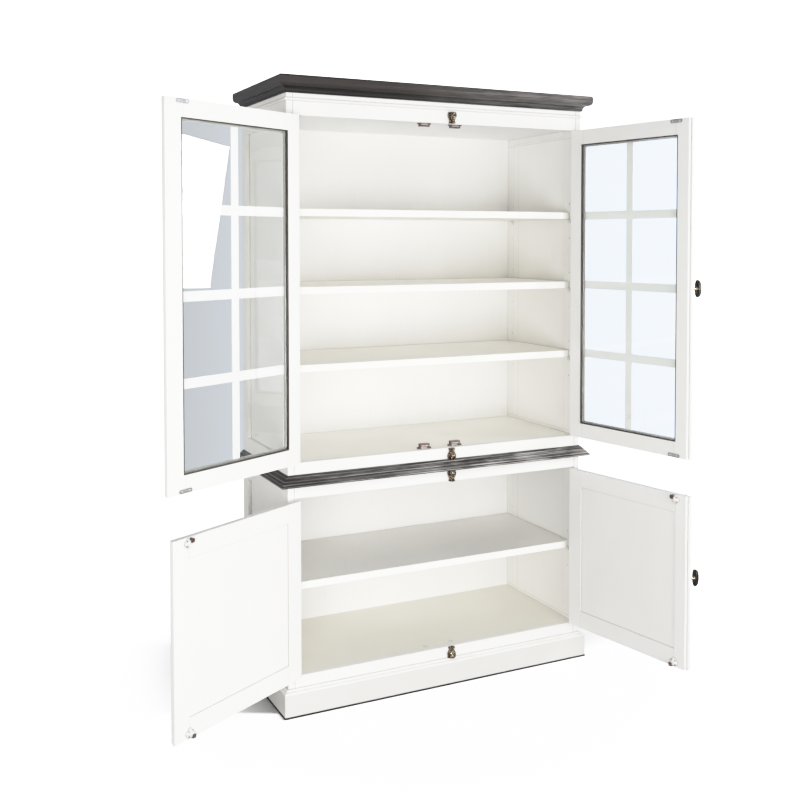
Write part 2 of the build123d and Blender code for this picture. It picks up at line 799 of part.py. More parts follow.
def cremone_bolt(z):
    """Bolt of one right-hand door, shut and drawn back: case and guides, knob, and the two rods."""
    middle = sum(z) / 2
    length = (z[1] - z[0]) / 2 - rod_tip_margin
    place = Pos(bolt_x, bolt_y, middle)
    rod = bolt_rod(length)
    guides = []
    for reach in (guide_from_case, length - guide_from_edge):
        guides += [Pos(0, 0, reach) * rod_guide(), Pos(0, 0, -reach) * rod_guide()]
    pieces = {
        "case": [bolt_case()] + guides,
        "knob": [bolt_knob(), pinion()],
        "rod_top": [rod],
        "rod_bottom": [Rot(0, 180, 0) * rod],
    }
    return {name: [place * solid for solid in solids] for name, solids in pieces.items()}


def swung(solids, angle, hand):
    """Solids of a right-hand door turned open about the pivot, mirrored first for a left-hand one."""
    chosen = solids if hand > 0 else mirrored(solids)
    turn = Pos(hand * pivot_x, pivot_y, 0) * Rot(0, 0, hand * angle) * Pos(-hand * pivot_x, -pivot_y, 0)
    return [turn * solid for solid in chosen]


def meeting_edge(stile, z, hand):
    """Meeting stile, drawn right-handed: rebated inside, or on a left-hand door tongued inside."""
    lap_y = (front + meeting_step, door_back)
    if hand > 0:
        return stile - block((door_free_edge, door_free_edge + meeting_lap), lap_y, z)
    tongue_x = (door_free_edge - meeting_lap, door_free_edge + 2 * arris)
    return stile + eased(block(tongue_x, (lap_y[0] + meeting_clearance, lap_y[1]), z), Axis.Z)


def hung(pieces, z, count):
    """Door pieces with the hinge leaves let into the hinge stile, and the frame's leaves."""
    frame_leaves = []
    door_leaves = []
    for level in hinge_levels(z, count):
        frame_leaf, door_leaf = hinge(level)
        frame_leaves.append(frame_leaf)
        door_leaves.append(door_leaf)
        recess = hinge_recess(level, (door_hinge_edge - leaf_thickness, door_hinge_edge))
        pieces["stiles"][1] -= recess
    pieces["hinge_leaves"] = door_leaves
    return frame_leaves


def face_frame(z, opening_z, door_z, hinge_count):
    """Stiles and rails on the front of one section, with the stiles let in for the hinges."""
    stiles, rails = framed(
        (-half_width, half_width), (front, face_back), z, (face_stile, face_stile),
        opening_z[0] - z[0], z[1] - opening_z[1])
    for level in hinge_levels(door_z, hinge_count):
        recess = hinge_recess(level, (opening_half, opening_half + leaf_thickness))
        stiles[1] -= recess
        stiles[0] -= recess.mirror(Plane.YZ)
    return stiles + rails


upper_door_z = (upper_floor_level + door_gap, upper_opening_top - door_gap)
lower_door_z = (lower_floor_level + door_gap, lower_opening_top - door_gap)

nodes = {}

upper_side = side(
    (waist_top, top_board_underside),
    (upper_floor_level + side_panel_above_floor, ceiling_level - side_panel_below_ceiling),
    upper_shelf_levels)
lower_side = side(
    (0, buffet_underside),
    (lower_floor_level + side_panel_above_floor, buffet_underside - side_panel_below_buffet),
    [lower_shelf_level])
nodes["upper_side_right"] = upper_side
nodes["upper_side_left"] = mirrored(upper_side)
nodes["lower_side_right"] = lower_side
nodes["lower_side_left"] = mirrored(lower_side)
nodes["upper_back_panel"] = back_panel((waist_top, top_board_underside))
nodes["lower_back_panel"] = back_panel((0, buffet_underside))

nodes["upper_ceiling"] = [block(
    (-inner_half, inner_half), (face_back, panel_front), (ceiling_level, ceiling_level + ceiling_thickness))]
nodes["upper_floor"] = floor_board(upper_floor_level)
nodes["lower_floor"] = floor_board(lower_floor_level)
nodes["buffet_top"] = [block((-half_width, half_width), (front, back), (buffet_underside, waist_top))]
nodes["top_board"] = [block((-half_width, half_width), (front, back), (top_board_underside, cornice_top))]
nodes["upper_face_frame"] = face_frame(
    (waist_top, top_board_underside), (upper_floor_level, upper_opening_top), upper_door_z, upper_hinge_count)
nodes["lower_face_frame"] = face_frame(
    (plinth_top - face_rail_lap, buffet_underside), (lower_floor_level, lower_opening_top),
    lower_door_z, lower_hinge_count)

supports = shelf_supports(lower_shelf_level)
nodes["lower_shelf"] = shelf(lower_shelf_level)
for number, level in enumerate(upper_shelf_levels, start=1):
    nodes[f"upper_shelf_{number}"] = shelf(level)
    supports += shelf_supports(level)
nodes["shelf_supports"] = supports

nodes["cornice"] = wrapped(cornice_outline(), cornice_underside, cornice_projection)
nodes["frieze_bead"] = wrapped(
    bead_outline(), cornice_underside - frieze_height - bead_height, bead_projection)
nodes["waist_moulding"] = wrapped(waist_outline(), buffet_underside, waist_projection)
nodes["plinth_moulding"] = wrapped(plinth_moulding_outline(), plinth_board_height, plinth_thickness)
nodes["plinth_boards"] = plinth()

nodes["magnetic_catches"] = both_sides(magnetic_catches())
nodes["catch_plates"] = both_sides(keeper_plates())
nodes["bolt_keepers"] = keepers()

frame_leaves = []
for level_name, door_z, make, hinge_count, angles in (
    ("upper", upper_door_z, glass_door, upper_hinge_count, (upper_left_angle, upper_right_angle)),
    ("lower", lower_door_z, panel_door, lower_hinge_count, (lower_left_angle, lower_right_angle)),
):
    pieces = make(door_z)
    frame_leaves += hung(pieces, door_z, hinge_count)
    if level_name == "upper":
        pieces["strikes"] = strike_plates(door_z)
    else:
        pieces["catches"] = catch_buttons(door_z)
    for hand_name, hand, angle in (("left", -1, angles[0]), ("right", 1, angles[1])):
        for piece, solids in pieces.items():
            if piece == "stiles":
                solids = [meeting_edge(solids[0], door_z, hand), solids[1]]
            nodes[f"{level_name}_{hand_name}_door_{piece}"] = swung(solids, angle, hand)
    for piece, solids in cremone_bolt(door_z).items():
        nodes[f"{level_name}_bolt_{piece}"] = swung(solids, angles[1], 1)
nodes["hinge_frame_leaves"] = both_sides(frame_leaves)

os.makedirs("parts", exist_ok=True)
for name, shapes in nodes.items():
    solids = [solid for shape in shapes for solid in shape.solids()]
    export_step(Compound(solids), f"parts/{name}.step")
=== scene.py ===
import math

import bmesh
import bpy
import numpy as np
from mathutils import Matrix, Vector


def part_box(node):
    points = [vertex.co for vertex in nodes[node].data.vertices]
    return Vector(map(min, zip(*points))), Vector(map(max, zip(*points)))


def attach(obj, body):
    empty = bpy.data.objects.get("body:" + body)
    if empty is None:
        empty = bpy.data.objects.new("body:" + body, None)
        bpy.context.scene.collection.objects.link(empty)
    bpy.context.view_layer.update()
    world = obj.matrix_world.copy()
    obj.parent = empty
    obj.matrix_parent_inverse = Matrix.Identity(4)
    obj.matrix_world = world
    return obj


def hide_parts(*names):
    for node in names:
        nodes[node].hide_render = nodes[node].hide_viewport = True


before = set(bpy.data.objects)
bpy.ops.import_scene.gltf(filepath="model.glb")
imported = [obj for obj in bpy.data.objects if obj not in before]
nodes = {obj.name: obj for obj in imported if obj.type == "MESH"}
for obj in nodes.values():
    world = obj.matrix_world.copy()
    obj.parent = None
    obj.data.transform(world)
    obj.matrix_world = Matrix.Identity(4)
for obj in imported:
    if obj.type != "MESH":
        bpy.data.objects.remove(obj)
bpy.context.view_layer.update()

# Camera, in metres and degrees, with lens and sensor in millimetres, for a frame of 800 by 800
camera_place = (-1.6915, -3.4402, 1.5542)
camera_turn = (87.996, 0.0, -26.653)
camera_lens = 47.100
camera_sensor = 36.0
camera_shift = (-0.0267, -0.1539)

# Sizes of the cabinet that the added pieces and the finishes need, in metres, with angles in degrees
front_face = -0.242
door_back = -0.220
half_width = 0.570
cornice_underside = 2.027
waist_underside = 0.756
pivot_x = 0.547
pivot_y = -0.2458
bolt_x = 0.030
bolt_y = -0.248
bolt_case_depth = 0.0124
bolt_case_screw = 0.034
guide_from_case = 0.060
guide_from_edge = 0.041
guide_screw = 0.011
guide_foot = 0.0025
knob_flat = 0.053
hinge_edge_frame = 0.548
hinge_edge_door = 0.546
hinge_from_end = 0.110
hinge_screw_rises = (-0.021, 0.0, 0.021)
hinge_screw_depths = (0.006, 0.012, 0.006)
open_angle = {"upper_left": 152.0, "upper_right": 100.0, "lower_left": 150.0, "lower_right": 100.0}
door_z = {"upper": (0.833, 1.954), "lower": (0.132, 0.712)}
hinge_count = {"upper": 3, "lower": 2}
catch_x = 0.060
catch_front = -0.2184
catch_depth = 0.016
catch_ear_middle = 0.02125
catch_sheet = 0.0025
catch_bar_front = -0.2174
catch_bar_middle = 0.0105
pole_size = (0.028, 0.0026)
pole_rise = 0.0007
upper_floor_level = 0.831
upper_ceiling_level = 1.962
strike_from_end = 0.008
strike_hole = 0.0145
strike_thickness = 0.0012
side_inner = 0.5515
side_joint = 0.154
side_rail_joints = (0.142, 0.843, 1.932)
button_x = 0.051
button_from_end = 0.0165
button_radius = 0.015
button_depth = 0.011
button_step = 0.52
button_profile = [(1.0, 0.0), (1.0, 0.42), (0.96, button_step - 0.03), (0.66, button_step), (0.64, 0.92),
                  (0.58, 1.0), (0.0, 1.0)]
button_lobes = (4, 0.20)
button_screw = (0.0076, 0.0076)
magnet_offset = (0.0070, 0.0083)
magnet_size = (0.0135, 0.0120)
magnet_depth = 0.014
block_profile = [(1.0, 0.0), (1.0, 0.86), (0.985, 0.94), (0.95, 0.98), (0.88, 1.0), (0.55, 1.0), (0.0, 1.0)]
block_power = 6
keeper_margin = 0.0005
keeper_socket = (0.0051, 0.020)
keeper_outside = [
    (0.0095, 0.0), (0.0108, 0.0003), (0.0117, 0.0012), (0.0120, 0.0025), (0.0117, 0.0038),
    (0.0108, 0.0047), (0.0096, 0.0054), (0.0091, 0.0070), (0.0090, 0.0090), (0.0093, 0.0108),
    (0.0102, 0.0130), (0.0115, 0.0155), (0.0130, 0.0185), (0.0143, 0.0215), (0.0151, 0.0245),
    (0.0154, 0.0275), (0.0153, 0.0305), (0.0147, 0.0330), (0.0140, 0.0342), (0.0142, 0.0350),
    (0.0143, 0.0365), (0.0139, 0.0376), (0.0132, 0.0380), (0.0, 0.0380)]
keeper_flutes = 12
keeper_flute_depth = 0.10
keeper_bulge = (0.012, 0.0336)
keeper_fade = (0.006, 0.003)
opening_z = ((0.130, 0.714), (0.831, 1.956))
ear_size = (0.0065, 0.014)
ear_rise = {"floor": 0.0030, "ceiling": 0.0066}
strip_outline = [(-0.0008, 0.0), (0.012, 0.0), (0.012, 0.0038), (-0.0001, 0.0038), (-0.0001, 0.0066),
                 (-0.0006, 0.0068), (-0.0008, 0.0064)]
knob_head_size = (0.022, 0.059)
knob_head_depth = 0.0166
knob_head_power = 2.6
knob_head_flat = 0.94
knob_head_rim = 0.06
knob_head_round = 0.55
knob_head_rings = 14
knob_stem = [(0.0, 0.0125), (0.0078, 0.0125), (0.0078, 0.0150), (0.0068, 0.0165), (0.0048, 0.0180),
             (0.0042, 0.0260), (0.0042, 0.0420), (0.0050, 0.0470), (0.0066, 0.0500), (0.0066, 0.0526),
             (0.0, 0.0526)]
pane_x = (0.062, 0.485)
pane_z = (0.895, 1.892)
pane_rows = 4
rabbet = 0.009
muntin_outline = [(-0.0145, -0.2351), (0.0145, -0.2351), (0.0145, -0.2375), (0.0132, -0.2386),
                  (0.0112, -0.2392), (0.0102, -0.2404), (0.0092, -0.2416), (-0.0092, -0.2416),
                  (-0.0102, -0.2404), (-0.0112, -0.2392), (-0.0132, -0.2386), (-0.0145, -0.2375)]
bead_outline = [(0.0, -0.2309), (0.0018, -0.2309), (0.0018, -0.2238), (0.0046, -0.2234), (0.0046, -0.2207),
                (0.0042, -0.2203), (0.0, -0.2203)]

# Screw heads as (radius, rise), their cross recess in shares of those, the skirt under the rim, the rings of
# points, and the upright part of a normal past which a head counts as lying flat
hinge_screw = (0.0030, 0.0003)
strike_screw = (0.0034, 0.00025)
button_screw_head = (0.0020, 0.0005)
ear_screw = (0.0022, 0.0006)
bolt_screw = (0.0024, 0.0005)
recess_half_width = 0.17
recess_reach = 0.62
recess_depth = 1.4
screw_skirt = 0.0004
screw_rings = 9
nearly_upright = 0.9

# Painted shade, with some old dirt in the joints, where joints and inside corners are closed in: how far a
# corner is felt, between which open shares it comes in, how dark it gets, its colour, the half widths between
# which a dark joint line fades and how dark that is, and the same for the painted shade inside holes
crevice_reach = 0.0036
crevice_range = (0.94, 0.60)
crevice_shade_share = 0.92
shade_and_dirt_tint = (0.34, 0.325, 0.295)
joint_line = (0.0008, 0.0015)
joint_share = 0.85
hole_reach = 0.008
hole_range = (0.40, 0.22)

# Dark trim: length and width of a streak, size of a patch and what each adds to the wear, colours of stain
# and of rubbed wood, which along the raised edges also stands for a painted highlight, half width of such a
# rubbed and painted-highlight edge and its least lightening, blur where the nose's stain begins, and
# the roughness, between two values of the streaks
streak_length = 0.22
streak_width = 0.0021
streak_wear = 0.72
patch_size = (0.10, 0.10, 0.02)
patch_wear = 0.34
stain_tint = (0.0105, 0.0092, 0.0088)
rubbed_and_lit_tint = (0.42, 0.405, 0.39)
rubbed_and_lit_width = 0.0018
rubbed_and_lit_least = 0.4
nose_blur = 0.001
trim_streaks = (0.3, 0.75)
trim_roughness = (0.38, 0.58)
trim_gloss = 0.22

# Other finishes: sizes of brush strokes, mottling and skin on x, y and z, the values of the noise between
# which tones and roughness change, and each relief as a depth in metres and a strength
upright_strokes = (0.003, 0.003, 0.18)
across_strokes = (0.18, 0.003, 0.003)
board_strokes = (0.22, 0.004, 0.004)
back_strokes = (0.004, 0.004, 0.24)
mottle_size = (0.16, 0.16, 0.30)
stroke_share = 0.25
paint_range = (0.36, 0.62)
noise_range = (0.3, 0.7)
skin_size = (0.0012, 0.0012, 0.0012)
plastic_mottle = (0.02, 0.02, 0.02)
plastic_range = (0.35, 0.65)
plastic_spread = (-0.05, 0.06)
patina_roughness = 0.14
glass_index = 1.46
brush_relief = (0.0003, 0.12)
trim_relief = (0.0004, 0.3)
patina_relief = (0.0002, 0.2)
skin_relief = (0.0001, 0.12)
ripple_relief = (0.0006, 0.10)


def place_camera():
    """Camera at the photographed viewing angle."""
    data = bpy.data.cameras.new("camera")
    data.lens = camera_lens
    data.sensor_width = camera_sensor
    data.shift_x, data.shift_y = camera_shift
    eye = bpy.data.objects.new("camera", data)
    eye.location = camera_place
    eye.rotation_euler = [math.radians(angle) for angle in camera_turn]
    bpy.context.collection.objects.link(eye)
    bpy.context.scene.camera = eye


def soft_light(name, place, aim, size, power, colour):
    """Soft rectangular light at place, turned to face aim, that shows in gloss but not by itself."""
    data = bpy.data.lights.new(name, "AREA")
    data.shape = "RECTANGLE"
    data.size, data.size_y = size
    data.energy = power
    data.color = colour
    lamp = bpy.data.objects.new(name, data)
    lamp.location = place
    away = np.array(place) - np.array(aim)
    flat = math.hypot(away[0], away[1])
    lamp.rotation_euler = (math.atan2(flat, away[2]), 0.0, math.atan2(away[1], away[0]) + math.pi / 2)
    lamp.visible_camera = False
    bpy.context.collection.objects.link(lamp)
    return lamp


def photographic_tone():
    """Straight up to the knee, then a shoulder that leaves with the same slope and reaches full white.

    Above the knee, what is left to white is (1 - knee) times the share of the way still to go from the
    knee to film_white, raised to the power that keeps the slope.
    """
    settings = bpy.context.scene.view_settings
    settings.view_transform = "Standard"
    settings.use_curve_mapping = True
    mapping = settings.curve_mapping
    mapping.white_level = (film_white, film_white, film_white)
    power = (film_white - film_knee) / (1.0 - film_knee)
    level = np.linspace(film_knee, film_white, film_steps)
    tone = 1.0 - (1.0 - film_knee) * ((film_white - level) / (film_white - film_knee)) ** power
    all_colours = mapping.curves[3]
    for x, y in zip(level[:-1] / film_white, tone[:-1]):
        all_colours.points.new(x, y)
    mapping.update()


def feed(tree, node, inputs):
    """Set or link a shader node's inputs by name or number; a colour needs no fourth value."""
    for key, value in inputs.items():
        if isinstance(value, bpy.types.NodeSocket):
            tree.links.new(value, node.inputs[key])
        elif node.inputs[key].type == "RGBA":
            node.inputs[key].default_value = (*value, 1.0)
        else:
            node.inputs[key].default_value = value


def add(tree, kind, inputs=None, **settings):
    """Add one shader node, set its properties, and set or link its inputs."""
    made = tree.nodes.new(kind)
    for key, value in settings.items():
        setattr(made, key, value)
    feed(tree, made, inputs or {})
    return made


def maths(tree, operation, *values):
    """Result of one Math node."""
    return add(tree, "ShaderNodeMath", dict(enumerate(values)), operation=operation).outputs[0]


def blended(tree, share, low, high):
    """Colour between low and high by share."""
    inputs = {"Factor": share, 6: low, 7: high}
    return add(tree, "ShaderNodeMix", inputs, data_type="RGBA").outputs[2]


def spread(tree, value, start, end, low=0.0, high=1.0):
    """Value taken from start..end to low..high and held there."""
    inputs = {"Value": value, "From Min": start, "From Max": end, "To Min": low, "To Max": high}
    return add(tree, "ShaderNodeMapRange", inputs).outputs[0]


def stretched(tree, stroke, turn=0.0):
    """Object coordinates turned about the upright axis and divided by the stroke's size on each axis."""
    place = add(tree, "ShaderNodeTexCoord").outputs["Object"]
    inputs = {"Vector": place, "Rotation": (0.0, 0.0, math.radians(turn)), "Scale": stroke}
    return add(tree, "ShaderNodeMapping", inputs, vector_type="TEXTURE").outputs[0]


def object_axes(tree):
    """Object coordinates, one socket for each axis."""
    place = add(tree, "ShaderNodeTexCoord").outputs["Object"]
    return add(tree, "ShaderNodeSeparateXYZ", {0: place}).outputs


def noise(tree, vector, detail=3.0):
    """Value of a noise texture at the vector."""
    inputs = {"Vector": vector, "Scale": 1.0, "Detail": detail, "Roughness": 0.55}
    return add(tree, "ShaderNodeTexNoise", inputs).outputs["Fac"]


def new_material(name):
    """Empty principled material, as (material, tree, shader)."""
    material = bpy.data.materials.new(name)
    material.use_nodes = True
    tree = material.node_tree
    return material, tree, tree.nodes["Principled BSDF"]


def bumped(tree, shader, height, depth, strength):
    """Relief of the given depth in metres on the shader's normal."""
    inputs = {"Height": height, "Distance": depth, "Strength": strength}
    feed(tree, shader, {"Normal": add(tree, "ShaderNodeBump", inputs).outputs[0]})


def shade_in_crevices(tree, alone=False, reach=crevice_reach, between=crevice_range, samples=6):
    """Share of painted shade and dirt in joints and inside corners, by how much of the nearest few
    millimetres is closed in.

    Where alone is true, only the piece itself closes it in, as on bars that lie against clear glass.
    """
    nearby = add(tree, "ShaderNodeAmbientOcclusion", {"Distance": reach}, samples=samples, only_local=alone)
    return spread(tree, nearby.outputs["AO"], *between)


def painted(name, stroke, turn=0.0, tint=(0.872, 0.864, 0.838), shade=(0.850, 0.841, 0.812), alone=False,
            lines=(), within=1.0, holes=False, shade_and_grime=crevice_shade_share, shine=(0.34, 0.46)):
    """Satin white paint over wood.

    Brush strokes are noise stretched along the grain; broad mottling moves the tone between tint and
    shade; the roughness follows the strokes between the two values of shine; painted shade with some dirt,
    as much as the given share, darkens the joints and inside corners, and dark joint lines, each an axis
    and a place on it, as far out from the cabinet's middle as within. Where holes is true, bored holes get
    painted shade inside.
    """
    material, tree, shader = new_material(name)
    strokes = noise(tree, stretched(tree, stroke, turn), detail=4.0)
    broad = noise(tree, stretched(tree, mottle_size), detail=2.0)
    tone = maths(tree, "ADD", maths(tree, "MULTIPLY", strokes, stroke_share),
                 maths(tree, "MULTIPLY", broad, 1.0 - stroke_share))
    clean = blended(tree, spread(tree, tone, *paint_range), shade, tint)
    # Painted shade, with some dirt, in the joints and inside corners
    shade_and_dirt = shade_in_crevices(tree, alone)
    if lines:
        axes = object_axes(tree)
        inside = maths(tree, "LESS_THAN", maths(tree, "ABSOLUTE", axes[0]), within)
    for axis, level in lines:
        off = maths(tree, "ABSOLUTE", maths(tree, "SUBTRACT", axes[axis], level))
        line = maths(tree, "MULTIPLY", spread(tree, off, *joint_line, joint_share, 0.0), inside)
        shade_and_dirt = maths(tree, "MAXIMUM", shade_and_dirt, line)
    shade_and_dirt = maths(tree, "MULTIPLY", shade_and_dirt, shade_and_grime)
    # Painted shade inside bored holes
    if holes:
        dark = shade_in_crevices(tree, reach=hole_reach, between=hole_range, samples=8)
        shade_and_dirt = maths(tree, "MAXIMUM", shade_and_dirt, dark)
    feed(tree, shader, {"Base Color": blended(tree, shade_and_dirt, clean, shade_and_dirt_tint),
                        "Roughness": spread(tree, strokes, *noise_range, *shine)})
    bumped(tree, shader, strokes, *brush_relief)
    return material


def along_trim(tree):
    """Object coordinates as (distance along the run, distance out, height) on either run of a mitred trim.

    The mitre is where the reach out from the front equals the reach out from the side, so the larger
    of the two says which run a point is on.
    """
    axes = object_axes(tree)
    out_front = maths(tree, "SUBTRACT", front_face, axes[1])
    out_side = maths(tree, "SUBTRACT", maths(tree, "ABSOLUTE", axes[0]), half_width)
    on_front = maths(tree, "GREATER_THAN", out_front, out_side)
    length = add(tree, "ShaderNodeMix", {"Factor": on_front, 2: axes[1], 3: axes[0]}).outputs[0]
    out = maths(tree, "MAXIMUM", out_front, out_side)
    return length, out, axes[2]


def dark_trim(name, underside, rubbed_and_lit_levels, nose_level, nose_tint, body_wear, edge_wear_and_light, worn_range):
    """Dark stained trim, rubbed back along its length.

    Fine streaks are noise stretched along the run. They lighten the stain most near the given heights of
    the raised edges above the underside, where the lighter tone is rubbed wear and a painted highlight.
    Above nose_level the stain is nose_tint. The worn streaks and the painted-highlight edges both change
    evenly from the left end to the right end, and none is less than nothing.
    Streaks wear through between the two values of worn_range.
    """
    material, tree, shader = new_material(name)
    length, out, height = along_trim(tree)
    above = maths(tree, "SUBTRACT", height, underside)
    run = add(tree, "ShaderNodeCombineXYZ", {0: maths(tree, "DIVIDE", length, streak_length),
                                             1: maths(tree, "DIVIDE", out, streak_width),
                                             2: maths(tree, "DIVIDE", height, streak_width)}).outputs[0]
    streaks = noise(tree, run)
    patches = noise(tree, stretched(tree, patch_size))
    worn = spread(tree, maths(tree, "ADD", maths(tree, "MULTIPLY", streaks, streak_wear),
                              maths(tree, "MULTIPLY", patches, patch_wear)), *worn_range)
    # Lighter lines along the raised edges: rubbed wear and a painted highlight
    edge = 0.0
    for level in rubbed_and_lit_levels:
        gap = maths(tree, "ABSOLUTE", maths(tree, "SUBTRACT", above, level))
        near = spread(tree, gap, 0.0, rubbed_and_lit_width, 1.0, 0.0)
        edge = maths(tree, "MAXIMUM", edge, near)
    on_nose = spread(tree, above, nose_level - nose_blur, nose_level + nose_blur)
    stain = blended(tree, on_nose, stain_tint, nose_tint)
    aside = object_axes(tree)[0]
    body_share = maths(tree, "MAXIMUM", spread(tree, aside, -half_width, half_width, *body_wear), 0.0)
    worn_body = maths(tree, "MULTIPLY", worn, body_share)
    # Least lightening along the raised edges, where the rubbed tone is also a painted highlight
    rubbed = maths(tree, "ADD", maths(tree, "MULTIPLY", worn, 1.0 - rubbed_and_lit_least), rubbed_and_lit_least)
    edge_share = maths(tree, "MAXIMUM", spread(tree, aside, -half_width, half_width, *edge_wear_and_light), 0.0)
    worn_and_lit_edge = maths(tree, "MULTIPLY", maths(tree, "MULTIPLY", edge, rubbed), edge_share)
    share = maths(tree, "MINIMUM", maths(tree, "ADD", worn_body, worn_and_lit_edge), 1.0)
    feed(tree, shader, {"Base Color": blended(tree, share, stain, rubbed_and_lit_tint),
                        "Roughness": spread(tree, streaks, *trim_streaks, *trim_roughness),
                        "Specular IOR Level": trim_gloss})
    bumped(tree, shader, streaks, *trim_relief)
    return material


def stained(name, size, between, dark, light, shine, relief):
    """Stained wood that goes from dark to light between two values of its grain, which has the given size."""
    material, tree, shader = new_material(name)
    grain = noise(tree, stretched(tree, size), detail=5.0)
    feed(tree, shader, {"Base Color": blended(tree, spread(tree, grain, *between), dark, light),
                        "Roughness": spread(tree, grain, *noise_range, *shine)})
    bumped(tree, shader, grain, *relief)
    return material


def metal(name, dark, bright, roughness, grain=(0.004, 0.004, 0.004), worn=(0.42, 0.62)):
    """Metal that goes from a dark patina to a bright rubbed tone in patches, rougher where dark."""
    material, tree, shader = new_material(name)
    patches = noise(tree, stretched(tree, grain), detail=4.0)
    dull = roughness + patina_roughness
    feed(tree, shader, {"Base Color": blended(tree, spread(tree, patches, *worn), dark, bright),
                        "Roughness": spread(tree, patches, *worn, dull, roughness), "Metallic": 1.0})
    bumped(tree, shader, patches, *patina_relief)
    return material


def plastic(name, tint, shade, roughness, shade_and_grime):
    """Moulded plastic with a fine pebbled skin, slight unevenness of tone, and painted shade and dirt in its
    corners.
    """
    material, tree, shader = new_material(name)
    skin = noise(tree, stretched(tree, skin_size), detail=2.0)
    broad = noise(tree, stretched(tree, plastic_mottle), detail=2.0)
    clean = blended(tree, spread(tree, broad, *plastic_range), shade, tint)
    shine = (roughness + change for change in plastic_spread)
    # Painted shade and dirt in the corners
    feed(tree, shader, {"Base Color": blended(tree, shade_in_crevices(tree), clean, shade_and_grime),
                        "Roughness": spread(tree, skin, *noise_range, *shine)})
    bumped(tree, shader, skin, *skin_relief)
    return material


def pane_glass(name, tint):
    """Clear float glass with a slow ripple, that lets the light of the lamps and walls straight through."""
    material, tree, shader = new_material(name)
    feed(tree, shader, {"Base Color": tint, "Roughness": 0.0, "IOR": glass_index, "Transmission Weight": 1.0})
    ripple = noise(tree, stretched(tree, mottle_size), detail=1.0)
    bumped(tree, shader, ripple, *ripple_relief)
    clear = add(tree, "ShaderNodeBsdfTransparent", {"Color": tint}).outputs[0]
    path = add(tree, "ShaderNodeLightPath").outputs
    through = maths(tree, "MAXIMUM", path["Is Shadow Ray"], path["Is Diffuse Ray"])
    mixed = add(tree, "ShaderNodeMixShader", {0: through, 1: shader.outputs[0], 2: clear}).outputs[0]
    feed(tree, tree.nodes["Material Output"], {"Surface": mixed})
    return material


def studio_floor(name):
    """Pale floor with a faint mottling, that throws back less light than it shows.

    From floor_fade[0] to floor_fade[1] metres out from the middle it gives way to the backdrop.
    """
    material, tree, shader = new_material(name)
    broad = noise(tree, stretched(tree, floor_mottle), detail=2.0)
    pale = blended(tree, broad, *([tone] * 3 for tone in floor_tones))
    bounced = add(tree, "ShaderNodeLightPath").outputs["Is Diffuse Ray"]
    feed(tree, shader, {"Base Color": blended(tree, bounced, pale, [floor_bounce] * 3),
                        "Roughness": floor_roughness, "Specular IOR Level": 0.0})
    place = add(tree, "ShaderNodeTexCoord").outputs["Object"]
    reach = add(tree, "ShaderNodeVectorMath", {0: place}, operation="LENGTH").outputs["Value"]
    faded = spread(tree, reach, *floor_fade)
    clear = add(tree, "ShaderNodeBsdfTransparent").outputs[0]
    mixed = add(tree, "ShaderNodeMixShader", {0: faded, 1: shader.outputs[0], 2: clear}).outputs[0]
    feed(tree, tree.nodes["Material Output"], {"Surface": mixed})
    return material


def lay_floor():
    """Round floor of the studio, with its own overhead light that reaches nothing else.

    The other lamps leave the floor out, and only the carcass shades it.
    """
    angle = full_turn(96)[0]
    rim = floor_fade[1] * np.stack([np.cos(angle), np.sin(angle), np.zeros_like(angle)], axis=-1)
    mesh = bpy.data.meshes.new("floor")
    mesh.from_pydata(rim.tolist(), [], [list(range(len(angle)))])
    mesh.materials.append(studio_floor("studio_floor"))
    floor = bpy.data.objects.new("floor", mesh)
    bpy.context.collection.objects.link(floor)
    lit = bpy.data.collections.new("floor_alone")
    lit.objects.link(floor)
    unlit = bpy.data.collections.new("all_but_floor")
    unlit.objects.link(floor)
    unlit.collection_objects[0].light_linking.link_state = "EXCLUDE"
    for lamp_name in softboxes:
        bpy.data.objects[lamp_name].light_linking.receiver_collection = unlit
    carcass = bpy.data.collections.new("carcass")
    for name in shading_nodes:
        carcass.objects.link(nodes[name])
    lamp = soft_light("floor_light", *floor_lamp)
    lamp.light_linking.receiver_collection = lit
    lamp.light_linking.blocker_collection = carcass


def studio_world():
    """White backdrop for the camera; round the object a dim studio, brighter behind and to the right.

    What is seen through glass towards the front is pale as well.
    """
    world = bpy.data.worlds.new("studio")
    world.use_nodes = True
    tree = world.node_tree
    tree.nodes.clear()
    way = add(tree, "ShaderNodeTexCoord").outputs["Generated"]
    axes = add(tree, "ShaderNodeSeparateXYZ", {0: way}).outputs
    yaw = maths(tree, "ARCTAN2", axes[0], axes[1])
    turned = spread(tree, yaw, *(math.radians(angle) for angle in rear_turn))
    rear = blended(tree, turned, rear_left, rear_right)
    path = add(tree, "ShaderNodeLightPath").outputs
    front = blended(tree, path["Is Transmission Ray"], front_fill, front_through_glass)
    level = blended(tree, spread(tree, axes[1], *front_to_rear), front, rear)
    tone = blended(tree, spread(tree, axes[2], *level_to_top), level, top_fill)
    around = add(tree, "ShaderNodeBackground", {"Color": tone, "Strength": 1.0}).outputs[0]
    backdrop = add(tree, "ShaderNodeBackground", {"Color": white, "Strength": film_white}).outputs[0]
    mixed = add(tree, "ShaderNodeMixShader", {0: path["Is Camera Ray"], 1: around, 2: backdrop}).outputs[0]
    add(tree, "ShaderNodeOutputWorld", {"Surface": mixed})
    bpy.context.scene.world = world


def hang_panel():
    """White panel beside the cabinet that the glass of the left-hand door mirrors, unseen by the camera."""
    material, tree, shader = new_material("mirrored_panel")
    feed(tree, shader, {"Base Color": (0.0, 0.0, 0.0), "Emission Color": white,
                        "Emission Strength": panel_glow})
    mesh = bpy.data.meshes.new("panel")
    mesh.from_pydata(panel_corners, [], [(0, 1, 2, 3)])
    mesh.materials.append(material)
    panel = bpy.data.objects.new("panel", mesh)
    panel.visible_camera = False
    bpy.context.collection.objects.link(panel)


